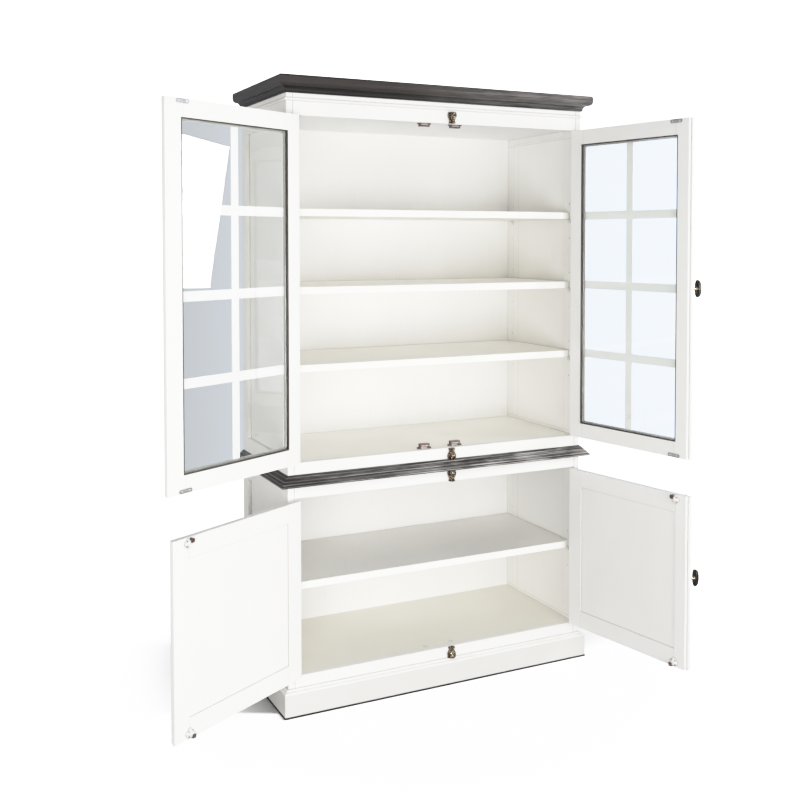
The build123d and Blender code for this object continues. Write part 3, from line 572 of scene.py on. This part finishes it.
def full_turn(facets):
    """Angles of a full turn in equal steps, as one row."""
    return np.linspace(0.0, 2 * math.pi, facets, endpoint=False)[None, :]


def blunt_reach(angle, power):
    """Reach of a superellipse of that power, with half axes of one, at each angle."""
    return (np.abs(np.cos(angle)) ** power + np.abs(np.sin(angle)) ** power) ** (-1.0 / power)


def columns_of(pairs):
    """The first and the second values of a list of pairs, each as a column."""
    return (np.array(values)[:, None] for values in zip(*pairs))


def grid_faces(rows, columns):
    """Quads of a grid of points in row order whose last column meets its first."""
    across = np.arange(columns)
    start = np.arange(rows - 1)[:, None] * columns
    left = start + across
    right = start + (across + 1) % columns
    return np.stack([left, right, right + columns, left + columns], axis=-1).reshape(-1, 4)


def make_piece(name, points, faces, material, body):
    """Mesh of the points and faces, with doubles merged and faces outward, that rides on a body."""
    mesh = bpy.data.meshes.new(name)
    mesh.from_pydata(points.reshape(-1, 3).tolist(), [], faces.tolist())
    shell = bmesh.new()
    shell.from_mesh(mesh)
    bmesh.ops.remove_doubles(shell, verts=shell.verts, dist=1e-7)
    bmesh.ops.recalc_face_normals(shell, faces=shell.faces)
    shell.to_mesh(mesh)
    shell.free()
    mesh.polygons.foreach_set("use_smooth", [True] * len(mesh.polygons))
    mesh.materials.append(material)
    piece = bpy.data.objects.new(name, mesh)
    bpy.context.collection.objects.link(piece)
    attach(piece, body)
    return piece


def axes_from(normal, up):
    """Right-handed frames as (across, up, normal) rows for each normal, with up made square to it."""
    normal = np.asarray(normal, float)
    up = np.asarray(up, float) + np.zeros_like(normal)
    across = np.cross(up, normal)
    across /= np.linalg.norm(across, axis=-1, keepdims=True)
    return np.stack([across, np.cross(normal, across), normal], axis=-2)


def repeated(shape, faces, places, frames):
    """One shape's points set at every place in that place's frame, with its faces repeated to match."""
    points = np.einsum("pk,nkc->npc", shape.reshape(-1, 3), frames) + np.asarray(places, float)[:, None, :]
    step = shape.reshape(-1, 3).shape[0]
    every = faces[None] + np.arange(len(places))[:, None, None] * step
    return points, every.reshape(-1, faces.shape[1])


def screw_head(radius, rise):
    """Head of a countersunk screw with a cross recess.

    Height is rise times one less the square of the share of the radius. It is pressed down where a
    point lies within the slot's half width of either axis and inside the slot's reach. A skirt goes
    down from the rim.
    """
    share = np.concatenate([np.linspace(0.0, 1.0, screw_rings), [1.0]])[:, None]
    angle = full_turn(24)
    x = radius * share * np.cos(angle)
    y = radius * share * np.sin(angle)
    slot = np.minimum(np.abs(x), np.abs(y)) < recess_half_width * radius
    inside = np.maximum(np.abs(x), np.abs(y)) < recess_reach * radius
    height = rise * (1.0 - share ** 2) + np.zeros_like(x) - recess_depth * rise * (slot & inside)
    height[-1] = -screw_skirt
    return np.stack([x, y, height], axis=-1), grid_faces(*x.shape)


def catch_body(radius, depth):
    """Moulded catch body: a lobed outline that steps in, part of the way up, to a smaller flat head.

    The outline is a circle whose radius sinks between four lobes, by the square of a wave in the angle.
    """
    share, level = columns_of(button_profile)
    angle = full_turn(96)
    count, sink = button_lobes
    lobes = 1.0 - sink * (0.5 - 0.5 * np.cos(count * angle)) ** 2
    x = radius * share * lobes * np.cos(angle)
    y = radius * share * lobes * np.sin(angle)
    return np.stack([x, y, depth * level + np.zeros_like(x)], axis=-1), grid_faces(*x.shape)


def rounded_block(size, depth):
    """Block with round corners: a superellipse of a high power, drawn in near the top by a round edge."""
    share, level = columns_of(block_profile)
    angle = full_turn(48)
    reach = blunt_reach(angle, block_power)
    x = 0.5 * size[0] * share * reach * np.cos(angle)
    y = 0.5 * size[1] * share * reach * np.sin(angle)
    return np.stack([x, y, depth * level + np.zeros_like(x)], axis=-1), grid_faces(*x.shape)


def fluted_keeper():
    """Turned vase with its mouth at height zero, flat against the rail behind.

    The radius follows a profile of (radius, height) points from the foot of the socket out over the lip
    to the far end. On the bulge it swells and sinks with the angle in flutes. Depth behind the rod's
    axis stops at the rail.
    """
    hole, deep = keeper_socket
    socket = [(0.0, deep), (hole, deep), (hole, 0.0)]
    radius, height = columns_of(socket + keeper_outside)
    angle = full_turn(96)
    start, end = keeper_bulge
    rising = np.clip((height - start) / keeper_fade[0], 0.0, 1.0)
    on_bulge = rising * np.clip((end - height) / keeper_fade[1], 0.0, 1.0)
    outside = np.arange(len(height))[:, None] >= len(socket)
    wave = (0.5 + 0.5 * np.cos(keeper_flutes * angle)) ** 2
    flutes = 1.0 - keeper_flute_depth * on_bulge * outside * wave
    x = radius * flutes * np.cos(angle)
    y = np.minimum(radius * flutes * np.sin(angle), front_face - bolt_y)
    return np.stack([x, y, height + np.zeros_like(x)], axis=-1), grid_faces(*x.shape)


def capped(rings):
    """Grid of rings with the first and last closed on their middles, and its faces."""
    middles = np.repeat(rings.mean(axis=1, keepdims=True), rings.shape[1], axis=1)
    points = np.concatenate([middles[:1], rings, middles[-1:]])
    return points, grid_faces(len(points), points.shape[1])


def shadow_line_strip_shape():
    """Dark strip under and before the plinth boards, as a painted shadow line: its outline carried along the
    mitred path of the boards.

    At each corner of the path a point moves in along the mitre by its depth in the outline.
    """
    low, high = (np.array(corner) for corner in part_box("plinth_boards"))
    path = np.array([(low[0], high[1]), (low[0], low[1]), (high[0], low[1]), (high[0], high[1])])
    inward = np.array([(1.0, 0.0), (1.0, 1.0), (-1.0, 1.0), (-1.0, 0.0)])
    depth, height = (np.array(values)[None, :, None] for values in zip(*strip_outline))
    flat = path[:, None, :] + depth * inward[:, None, :]
    return capped(np.concatenate([flat, height + np.zeros_like(flat[..., :1])], axis=-1))


def glazing_strip():
    """Strip round one pane: its outline carried round the rabbet's rectangle, with mitred corners."""
    low, high = np.array((pane_x[0], pane_z[0])) - rabbet, np.array((pane_x[1], pane_z[1])) + rabbet
    path = np.array([(low[0], low[1]), (high[0], low[1]), (high[0], high[1]), (low[0], high[1])])
    inward = np.array([(1.0, 1.0), (-1.0, 1.0), (-1.0, -1.0), (1.0, -1.0)])
    depth, level = (np.array(values)[None, :, None] for values in zip(*bead_outline))
    flat = path[:, None, :] + depth * inward[:, None, :]
    points = np.stack([flat[..., 0], level[..., 0] + np.zeros_like(flat[..., 0]), flat[..., 1]], axis=-1)
    faces = grid_faces(len(path) + 1, len(bead_outline)) % (len(path) * len(bead_outline))
    return points, faces


def muntin_bars():
    """Moulded glazing bars of one pane: one upright between the rails, and rows of bars that butt against it.

    Each is the same outline, flat on the glass and moulded in front, carried from end to end.
    """
    across, level = (np.array(values)[None, :] for values in zip(*muntin_outline))
    middle = sum(pane_x) / 2
    half = across.max()
    ends = np.array(pane_z)[:, None]
    blank = np.zeros((2, across.shape[1]))
    bars = [capped(np.stack([middle + across + blank, level + blank, ends + blank], axis=-1))]
    for row in np.linspace(*pane_z, pane_rows + 1)[1:-1]:
        for span in ((pane_x[0], middle - half), (middle + half, pane_x[1])):
            ends = np.array(span)[:, None]
            bars.append(capped(np.stack([ends + blank, level + blank, row + across + blank], axis=-1)))
    size = bars[0][0].reshape(-1, 3).shape[0]
    points = np.concatenate([bar.reshape(-1, 3) for bar, faces in bars])
    return points, np.concatenate([faces + n * size for n, (bar, faces) in enumerate(bars)])


def knob_head():
    """Oval knob: a blunt oval outline, flat behind, that draws in over a full round to the front.

    The outline is a superellipse. Its share and its reach from the flat follow a quarter turn.
    """
    angle = full_turn(64)
    turn = np.linspace(0.0, math.pi / 2, knob_head_rings)[:, None]
    share = np.concatenate([[[0.0]], [[knob_head_flat]], np.cos(turn) ** knob_head_round])
    reach = np.concatenate([[[0.0]], [[0.0]], knob_head_rim + (1.0 - knob_head_rim) * np.sin(turn)])
    oval = blunt_reach(angle, knob_head_power)
    x = bolt_x + 0.5 * knob_head_size[0] * share * oval * np.cos(angle)
    z = 0.5 * knob_head_size[1] * share * oval * np.sin(angle)
    y = front_face - knob_flat - knob_head_depth * reach + np.zeros_like(x)
    return np.stack([x, y, z], axis=-1), grid_faces(*x.shape)


def knob_neck():
    """Turned stem of a knob: a profile of (radius, distance out from the door) turned about the spindle."""
    radius, out = columns_of(knob_stem)
    angle = full_turn(40)
    x = bolt_x + radius * np.cos(angle)
    z = radius * np.sin(angle)
    return np.stack([x, front_face - out + np.zeros_like(x), z], axis=-1), grid_faces(*x.shape)


def on_door(key, points):
    """Points of a shut right-hand door, mirrored for a left-hand one, with its swing and its pivot."""
    hand = 1.0 if key.endswith("right") else -1.0
    angle = hand * math.radians(open_angle[key])
    points = np.asarray(points, float) * (hand, 1.0, 1.0)
    turn = np.array([[math.cos(angle), math.sin(angle), 0.0], [-math.sin(angle), math.cos(angle), 0.0],
                     [0.0, 0.0, 1.0]])
    return points, turn, np.array([hand * pivot_x, pivot_y, 0.0])


def door_points(key, points):
    """Points of a shut right-hand door, carried to the door of that key as it stands open."""
    points, turn, pivot = on_door(key, points)
    return (points - pivot) @ turn + pivot


def door_normals(key, normal, count):
    """One direction of a shut right-hand door, turned with the door of that key, count times."""
    normal, turn, pivot = on_door(key, normal)
    return np.tile(normal @ turn, (count, 1))


def fit_screws(name, body, places, normals, head, material):
    """Screw heads at the places on one body, heads along the normals."""
    upright = np.abs(np.asarray(normals)[:, 2:3]) > nearly_upright
    up = np.where(upright, [[0.0, 1.0, 0.0]], [[0.0, 0.0, 1.0]])
    shape, faces = screw_head(*head)
    points, every = repeated(shape, faces, places, axes_from(normals, up))
    make_piece(name, points, every, material, body)


def hinge_levels(section):
    """Heights of the hinges of one section's doors."""
    low, high = door_z[section]
    return np.linspace(low + hinge_from_end, high - hinge_from_end, hinge_count[section])


def hinge_screw_places(section, edge):
    """Three staggered screws on each leaf of one right-hand door's hinges, on the face at x = edge."""
    levels = hinge_levels(section)[:, None] + np.array(hinge_screw_rises)[None, :]
    depth = front_face + np.array(hinge_screw_depths)[None, :] + np.zeros_like(levels)
    return np.stack([np.full_like(levels, edge), depth, levels], axis=-1).reshape(-1, 3)


# The studio: tone of the picture, fill from the walls, and lamps as (place, aim, size, power, colour)
white = (1.0, 1.0, 1.0)
film_knee = 0.5
film_white = 3.0
film_steps = 14
front_fill = (0.04, 0.04, 0.04)
front_through_glass = (1.0, 1.02, 1.05)
top_fill = (0.0, 0.0, 0.0)
rear_left = (0.605, 0.630, 0.668)
rear_right = (1.25, 1.42, 1.80)
rear_turn = (14.0, 38.0)
front_to_rear = (-0.15, 0.15)
level_to_top = (0.25, 0.75)
floor_tones = (0.50, 0.52)
floor_mottle = (0.9, 0.9, 0.9)
floor_roughness = 0.7
floor_bounce = 0.06
floor_fade = (0.85, 1.35)
panel_corners = [(2.6, -1.86, 2.245), (2.6, -1.483, 2.142), (2.6, -1.621, 1.251), (2.6, -1.869, 1.249)]
panel_glow = 45.0
softboxes = {
    "low_front_key": ((0.4, -4.6, 0.9), (0.0, 0.0, 0.9), (2.4, 1.2), 78.0, white),
    "near_front_key": ((0.3, -2.8, 0.4), (0.0, 0.0, 0.6), (2.0, 0.7), 18.0, white),
    "high_front_key": ((0.2, -3.6, 3.0), (0.0, 0.0, 0.9), (2.6, 1.2), 42.0, white),
    "left_key": ((-2.2, -4.2, 1.8), (0.0, 0.0, 1.1), (1.5, 1.5), 16.0, white),
    "near_left_key": ((-1.9, -2.9, 0.8), (-0.2, 0.0, 0.9), (1.2, 1.2), 62.0, white),
    "inner_strip": ((1.89, -4.4, 1.2), (0.0, 0.0, 1.2), (0.34, 1.6), 10.0, white),
    "outer_strip": ((2.61, -4.4, 1.2), (0.0, 0.0, 1.2), (0.34, 1.6), 10.0, white),
    "overhead_key": ((0.0, -1.2, 4.2), (0.0, -0.4, 0.0), (3.0, 2.0), 20.0, white),
    "rear_left_fill": ((-2.6, 0.9, 1.6), (-0.57, 0.0, 1.5), (1.0, 1.6), 19.0, (1.0, 0.94, 0.85)),
}
shading_nodes = ("lower_side_left", "lower_side_right", "upper_side_left", "upper_side_right",
                 "lower_back_panel", "upper_back_panel", "plinth_boards", "plinth_moulding", "top_board")
floor_lamp = ((0.1666, -0.650, 8.0), (0.1709, -0.641, 0.0), (1.63, 0.12), 2200.0, white)

place_camera()
studio_world()
photographic_tone()
for lamp_name, lamp in softboxes.items():
    soft_light(lamp_name, *lamp)
hang_panel()

# Finishes
upright_paint = painted("white_paint_upright", upright_strokes)
across_paint = painted("white_paint_across", across_strokes)
muntin_paint = painted("white_paint_muntin", upright_strokes, alone=True)
face_paint = painted("white_paint_face", across_strokes,
                     lines=((0, hinge_edge_frame), (0, -hinge_edge_frame)))
# Lighter copy of the white paint for the side walls: painted light
side_paint_lit = painted("white_paint_side_lit", upright_strokes, tint=(0.905, 0.893, 0.858),
                     shade=(0.885, 0.871, 0.834), holes=True, shade_and_grime=0.40, within=side_inner,
                     lines=[(1, side_joint)] + [(2, level) for level in side_rail_joints])
# Darker copy of the white paint for the plinth boards: painted shade
plinth_paint_shaded = painted("white_paint_plinth_shaded", across_strokes, tint=(0.696, 0.687, 0.651),
                       shade=(0.678, 0.668, 0.632))
# Lighter, warmer copy of the paint for the upper floor and shelves: painted light
shelf_paint_lit = painted("interior_paint_shelf_lit", board_strokes, tint=(0.940, 0.922, 0.862),
                      shade=(0.920, 0.902, 0.840), shade_and_grime=0.30)
# Darker, warmer copy of the paint for the lower floor: painted shade
low_floor_paint_shaded = painted("interior_paint_low_floor_shaded", board_strokes, tint=(0.850, 0.833, 0.752),
                          shade=(0.832, 0.815, 0.732), shade_and_grime=0.30)
# Lighter copy of the paint for the lower shelf: painted light
low_shelf_paint_lit = painted("interior_paint_low_shelf_lit", board_strokes, tint=(0.975, 0.958, 0.912),
                          shade=(0.960, 0.942, 0.894), shade_and_grime=0.30)
# Cooler copy of the paint for the upper ceiling, standing for the cooler light on it: painted light
ceiling_paint_cool_lit = painted("interior_paint_ceiling_cool_lit", board_strokes, tint=(0.880, 0.888, 0.900),
                        shade=(0.860, 0.868, 0.880), shade_and_grime=0.15)
back_paint = painted("interior_paint_back", back_strokes, tint=(0.872, 0.860, 0.822),
                     shade=(0.850, 0.836, 0.796), shade_and_grime=0.30, shine=(0.27, 0.36))
rail_paint = {
    key: painted("white_paint_rail_" + key, across_strokes, angle if key.endswith("right") else -angle)
    for key, angle in open_angle.items()
}
cornice_stain = dark_trim("dark_trim_cornice", cornice_underside, rubbed_and_lit_levels=(0.0195, 0.0360, 0.0500),
                          nose_level=0.0200, nose_tint=(0.026, 0.0210, 0.0195), body_wear=(-0.25, 0.53),
                          edge_wear_and_light=(-0.10, 0.46), worn_range=(0.42, 0.74))
waist_stain = dark_trim("dark_trim_waist", waist_underside, rubbed_and_lit_levels=(0.0045, 0.0115, 0.0195, 0.0300),
                        nose_level=0.05, nose_tint=(0.03, 0.026, 0.024), body_wear=(0.10, 0.85),
                        edge_wear_and_light=(0.62, 0.85), worn_range=(0.50, 0.62))
board_stain = stained("dark_trim_board", (0.24, 0.004, 0.004), (0.35, 0.70), dark=(0.020, 0.017, 0.015),
                      light=(0.060, 0.046, 0.038), shine=(0.34, 0.50), relief=(0.0003, 0.25))
bead_stain = stained("glazing_bead_stain", (0.006, 0.006, 0.006), (0.36, 0.68), dark=(0.022, 0.017, 0.015),
                     light=(0.085, 0.068, 0.060), shine=(0.36, 0.50), relief=(0.0002, 0.20))
bronze = metal("bronze_patina", (0.050, 0.040, 0.032), (0.30, 0.22, 0.13), 0.30, worn=(0.44, 0.70))
keeper_brass = metal("bronze_keeper", (0.034, 0.024, 0.018), (0.68, 0.56, 0.41), 0.26,
                     (0.0042, 0.0042, 0.0042), (0.54, 0.64))
knob_dark = metal("bronze_knob_head", (0.034, 0.033, 0.034), (0.120, 0.105, 0.090), 0.30,
                  (0.005, 0.005, 0.008), (0.46, 0.66))
knob_brass = metal("bronze_knob_neck", (0.62, 0.48, 0.27), (0.92, 0.80, 0.54), 0.22)
strike_steel = metal("strike_steel", (0.33, 0.335, 0.35), (0.48, 0.485, 0.50), 0.42, (0.02, 0.004, 0.004))
screw_steel = metal("screw_steel", (0.52, 0.51, 0.49), (0.80, 0.79, 0.77), 0.26)
hinge_steel = metal("hinge_steel", (0.40, 0.38, 0.34), (0.66, 0.63, 0.57), 0.30)
support_pale = plastic("support_pale", (0.80, 0.79, 0.76), (0.72, 0.71, 0.68), 0.34, (0.40, 0.39, 0.37))
pole_steel = metal("pole_steel", (0.34, 0.30, 0.29), (0.62, 0.57, 0.55), 0.36)
catch_brown = plastic("catch_brown", (0.135, 0.080, 0.060), (0.085, 0.048, 0.038), 0.40,
                      (0.020, 0.013, 0.011))
magnet_brown = plastic("catch_brown_magnet", (0.080, 0.036, 0.032), (0.050, 0.024, 0.022), 0.34,
                       (0.02, 0.012, 0.01))
catch_white = plastic("catch_white", (0.80, 0.79, 0.76), (0.70, 0.69, 0.66), 0.36, (0.30, 0.29, 0.27))
shadow_line_strip = plastic("dark_shadow_line_strip", (0.016, 0.015, 0.014), (0.010, 0.010, 0.009), 0.85,
                      (0.004, 0.004, 0.004))
glass = pane_glass("pane_glass", (0.97, 0.985, 0.98))

finish_of = {
    "cornice": cornice_stain,
    "waist_moulding": waist_stain,
    "top_board": board_stain,
    "buffet_top": board_stain,
    "frieze_bead": across_paint,
    "plinth_moulding": across_paint,
    "plinth_boards": plinth_paint_shaded,
    "upper_ceiling": ceiling_paint_cool_lit,
    "upper_floor": shelf_paint_lit,
    "lower_floor": low_floor_paint_shaded,
    "lower_shelf": low_shelf_paint_lit,
    "shelf_supports": support_pale,
    "magnetic_catches": catch_brown,
    "catch_plates": catch_white,
    "bolt_keepers": keeper_brass,
    "hinge_frame_leaves": hinge_steel,
}
for number in (1, 2, 3):
    finish_of[f"upper_shelf_{number}"] = shelf_paint_lit
for section in door_z:
    finish_of[section + "_face_frame"] = face_paint
    finish_of[section + "_back_panel"] = back_paint
    finish_of[section + "_side_left"] = side_paint_lit
    finish_of[section + "_side_right"] = side_paint_lit
    for piece_name in ("knob", "case", "rod_top", "rod_bottom"):
        finish_of[f"{section}_bolt_{piece_name}"] = bronze
for key in open_angle:
    finish_of[key + "_door_stiles"] = upright_paint
    finish_of[key + "_door_rails"] = rail_paint[key]
    finish_of[key + "_door_muntins"] = muntin_paint
    finish_of[key + "_door_panel"] = upright_paint
    finish_of[key + "_door_glass"] = glass
    finish_of[key + "_door_glazing_beads"] = bead_stain
    finish_of[key + "_door_hinge_leaves"] = hinge_steel
    finish_of[key + "_door_strikes"] = strike_steel
    finish_of[key + "_door_catches"] = catch_white
for name, node in nodes.items():
    node.data.materials.clear()
    node.data.materials.append(finish_of[name])

# Screws and catches
for key in open_angle:
    section = key.split("_")[0]
    body = key + "_door"
    low, high = door_z[section]
    leaf_places = door_points(key, hinge_screw_places(section, hinge_edge_door))
    leaf_normals = door_normals(key, (1.0, 0.0, 0.0), len(leaf_places))
    fit_screws(key + "_door_hinge_screws", body, leaf_places, leaf_normals, hinge_screw, screw_steel)
    if section == "upper":
        spots = [(catch_x + side * strike_hole, door_back + strike_thickness, level)
                 for level in (low + strike_from_end, high - strike_from_end) for side in (-1, 1)]
        places = door_points(key, spots)
        normals = door_normals(key, (0.0, 1.0, 0.0), len(spots))
        fit_screws(key + "_door_strike_screws", body, places, normals, strike_screw, screw_steel)
    else:
        levels = ((low + button_from_end, -1.0), (high - button_from_end, 1.0))
        inward = door_normals(key, (0.0, 1.0, 0.0), 2)
        frames = axes_from(inward, (0.0, 0.0, 1.0))
        shape, faces = catch_body(button_radius, button_depth)
        discs = door_points(key, [(button_x, door_back, level) for level, way in levels])
        points, every = repeated(shape, faces, discs, frames)
        button = make_piece(key + "_door_catch_buttons", points, every, catch_white, body)
        shape, faces = rounded_block(magnet_size, magnet_depth)
        blocks = door_points(key, [(button_x + magnet_offset[0], door_back, level + way * magnet_offset[1])
                                   for level, way in levels])
        points, every = repeated(shape, faces, blocks, frames)
        magnet = make_piece(key + "_door_catch_magnets", points, every, magnet_brown, body)
        spots = [(button_x + side * button_screw[0], door_back + button_step * button_depth,
                  level + rise * button_screw[1])
                 for level, way in levels for side in (-1, 1) for rise in (-1, 1)]
        places = door_points(key, spots)
        normals = door_normals(key, (0.0, 1.0, 0.0), len(spots))
        fit_screws(key + "_door_catch_screws", body, places, normals, button_screw_head, bronze)
        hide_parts(key + "_door_catches")
        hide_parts(key + "_door_catches")

# Glazing bars and strips of the upper doors
for key in ("upper_left", "upper_right"):
    points, faces = muntin_bars()
    bars = make_piece(key + "_door_glazing_bars", door_points(key, points), faces, muntin_paint,
                      key + "_door")
    bars.data.polygons.foreach_set("use_smooth", [False] * len(bars.data.polygons))
    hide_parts(key + "_door_muntins")
    points, faces = glazing_strip()
    strip = make_piece(key + "_door_glazing_strip", door_points(key, points.reshape(-1, 3)), faces,
                       bead_stain, key + "_door")
    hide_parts(key + "_door_glazing_beads")

# Knobs of the cremone bolts, on the outer faces of the right-hand doors
for section in door_z:
    key = section + "_right"
    lift = (0.0, 0.0, sum(door_z[section]) / 2)
    points, faces = knob_head()
    head = make_piece(section + "_knob_head", door_points(key, points.reshape(-1, 3) + lift), faces,
                      knob_dark, section + "_knob")
    points, faces = knob_neck()
    neck = make_piece(section + "_knob_neck", door_points(key, points.reshape(-1, 3) + lift), faces,
                      knob_brass, section + "_knob")
    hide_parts(section + "_bolt_knob")
    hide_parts(section + "_bolt_knob")

# Screws of the hinge leaves on the frame
frame_places = np.concatenate([hinge_screw_places(section, hinge_edge_frame) for section in door_z])
frame_normals = np.tile((-1.0, 0.0, 0.0), (len(frame_places), 1))
frame_places = np.concatenate([frame_places, frame_places * (-1.0, 1.0, 1.0)])
frame_normals = np.concatenate([frame_normals, -frame_normals])
fit_screws("hinge_frame_screws", "cabinet", frame_places, frame_normals, hinge_screw, screw_steel)

# Ears of the upper catches, with their screws
ear_y = catch_front + catch_depth / 2
ear_spots = [(side * catch_x + ear * catch_ear_middle, ear_y) for side in (-1, 1) for ear in (-1, 1)]
ear_blocks = []
ear_faces = []
ear_screws = []
ear_normals = []
for board, level, way in (("floor", upper_floor_level, 1.0), ("ceiling", upper_ceiling_level, -1.0)):
    shape, faces = rounded_block(ear_size, ear_rise[board])
    bases = [(x, y, level + way * catch_sheet) for x, y in ear_spots]
    upright = np.tile((0.0, 0.0, way), (4, 1))
    points, every = repeated(shape, faces, bases, axes_from(upright, (0.0, 1.0, 0.0)))
    ear_faces.append(every + sum(block.reshape(-1, 3).shape[0] for block in ear_blocks))
    ear_blocks.append(points)
    ear_screws += [(x, y, z + way * ear_rise[board]) for x, y, z in bases]
    ear_normals += [(0.0, 0.0, way)] * 4
make_piece("magnetic_catch_ears", np.concatenate(ear_blocks), np.concatenate(ear_faces), catch_brown,
           "cabinet")
fit_screws("magnetic_catch_screws", "cabinet", ear_screws, ear_normals, ear_screw, bronze)

# Light poles on the bars of the upper catches
shape, faces = rounded_block(pole_size, pole_rise)
pole_places = [(side * catch_x, catch_bar_front, level)
               for level in (upper_floor_level + catch_bar_middle, upper_ceiling_level - catch_bar_middle)
               for side in (-1, 1)]
pole_frames = axes_from([(0.0, -1.0, 0.0)] * 4, (0.0, 0.0, 1.0))
points, every = repeated(shape, faces, pole_places, pole_frames)
make_piece("magnetic_catch_poles", points, every, pole_steel, "cabinet")

# Keepers, mouth down above each opening and mouth up below it
shape, faces = fluted_keeper()
keeper_places = [(bolt_x, bolt_y, level + way * keeper_margin)
                 for low, high in opening_z for level, way in ((high, 1.0), (low, -1.0))]
keeper_frames = np.array([np.diag((1.0, 1.0, way)) for way in (1.0, -1.0)] * len(opening_z))
points, every = repeated(shape, faces, keeper_places, keeper_frames)
keeper = make_piece("bolt_keepers_fluted", points, every, keeper_brass, "cabinet")
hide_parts("bolt_keepers")

# Screws of the cremone bolts, on the outer faces of the right-hand doors
for section in door_z:
    key = section + "_right"
    low, high = door_z[section]
    middle = (low + high) / 2
    spots = [(bolt_x, front_face - bolt_case_depth, middle + way * bolt_case_screw) for way in (-1, 1)]
    reaches = (guide_from_case, (high - low) / 2 - guide_from_edge)
    spots += [(bolt_x + side * guide_screw, front_face - guide_foot, middle + way * reach)
              for reach in reaches for way in (-1, 1) for side in (-1, 1)]
    places = door_points(key, spots)
    normals = door_normals(key, (0.0, -1.0, 0.0), len(spots))
    fit_screws(key + "_bolt_screws", key + "_door", places, normals, bolt_screw, bronze)

# Dark strip that the plinth boards stand on, as a painted shadow line where they meet the floor
points, faces = shadow_line_strip_shape()
make_piece("plinth_shadow_line_strip", points, faces, shadow_line_strip, "cabinet")

lay_floor()
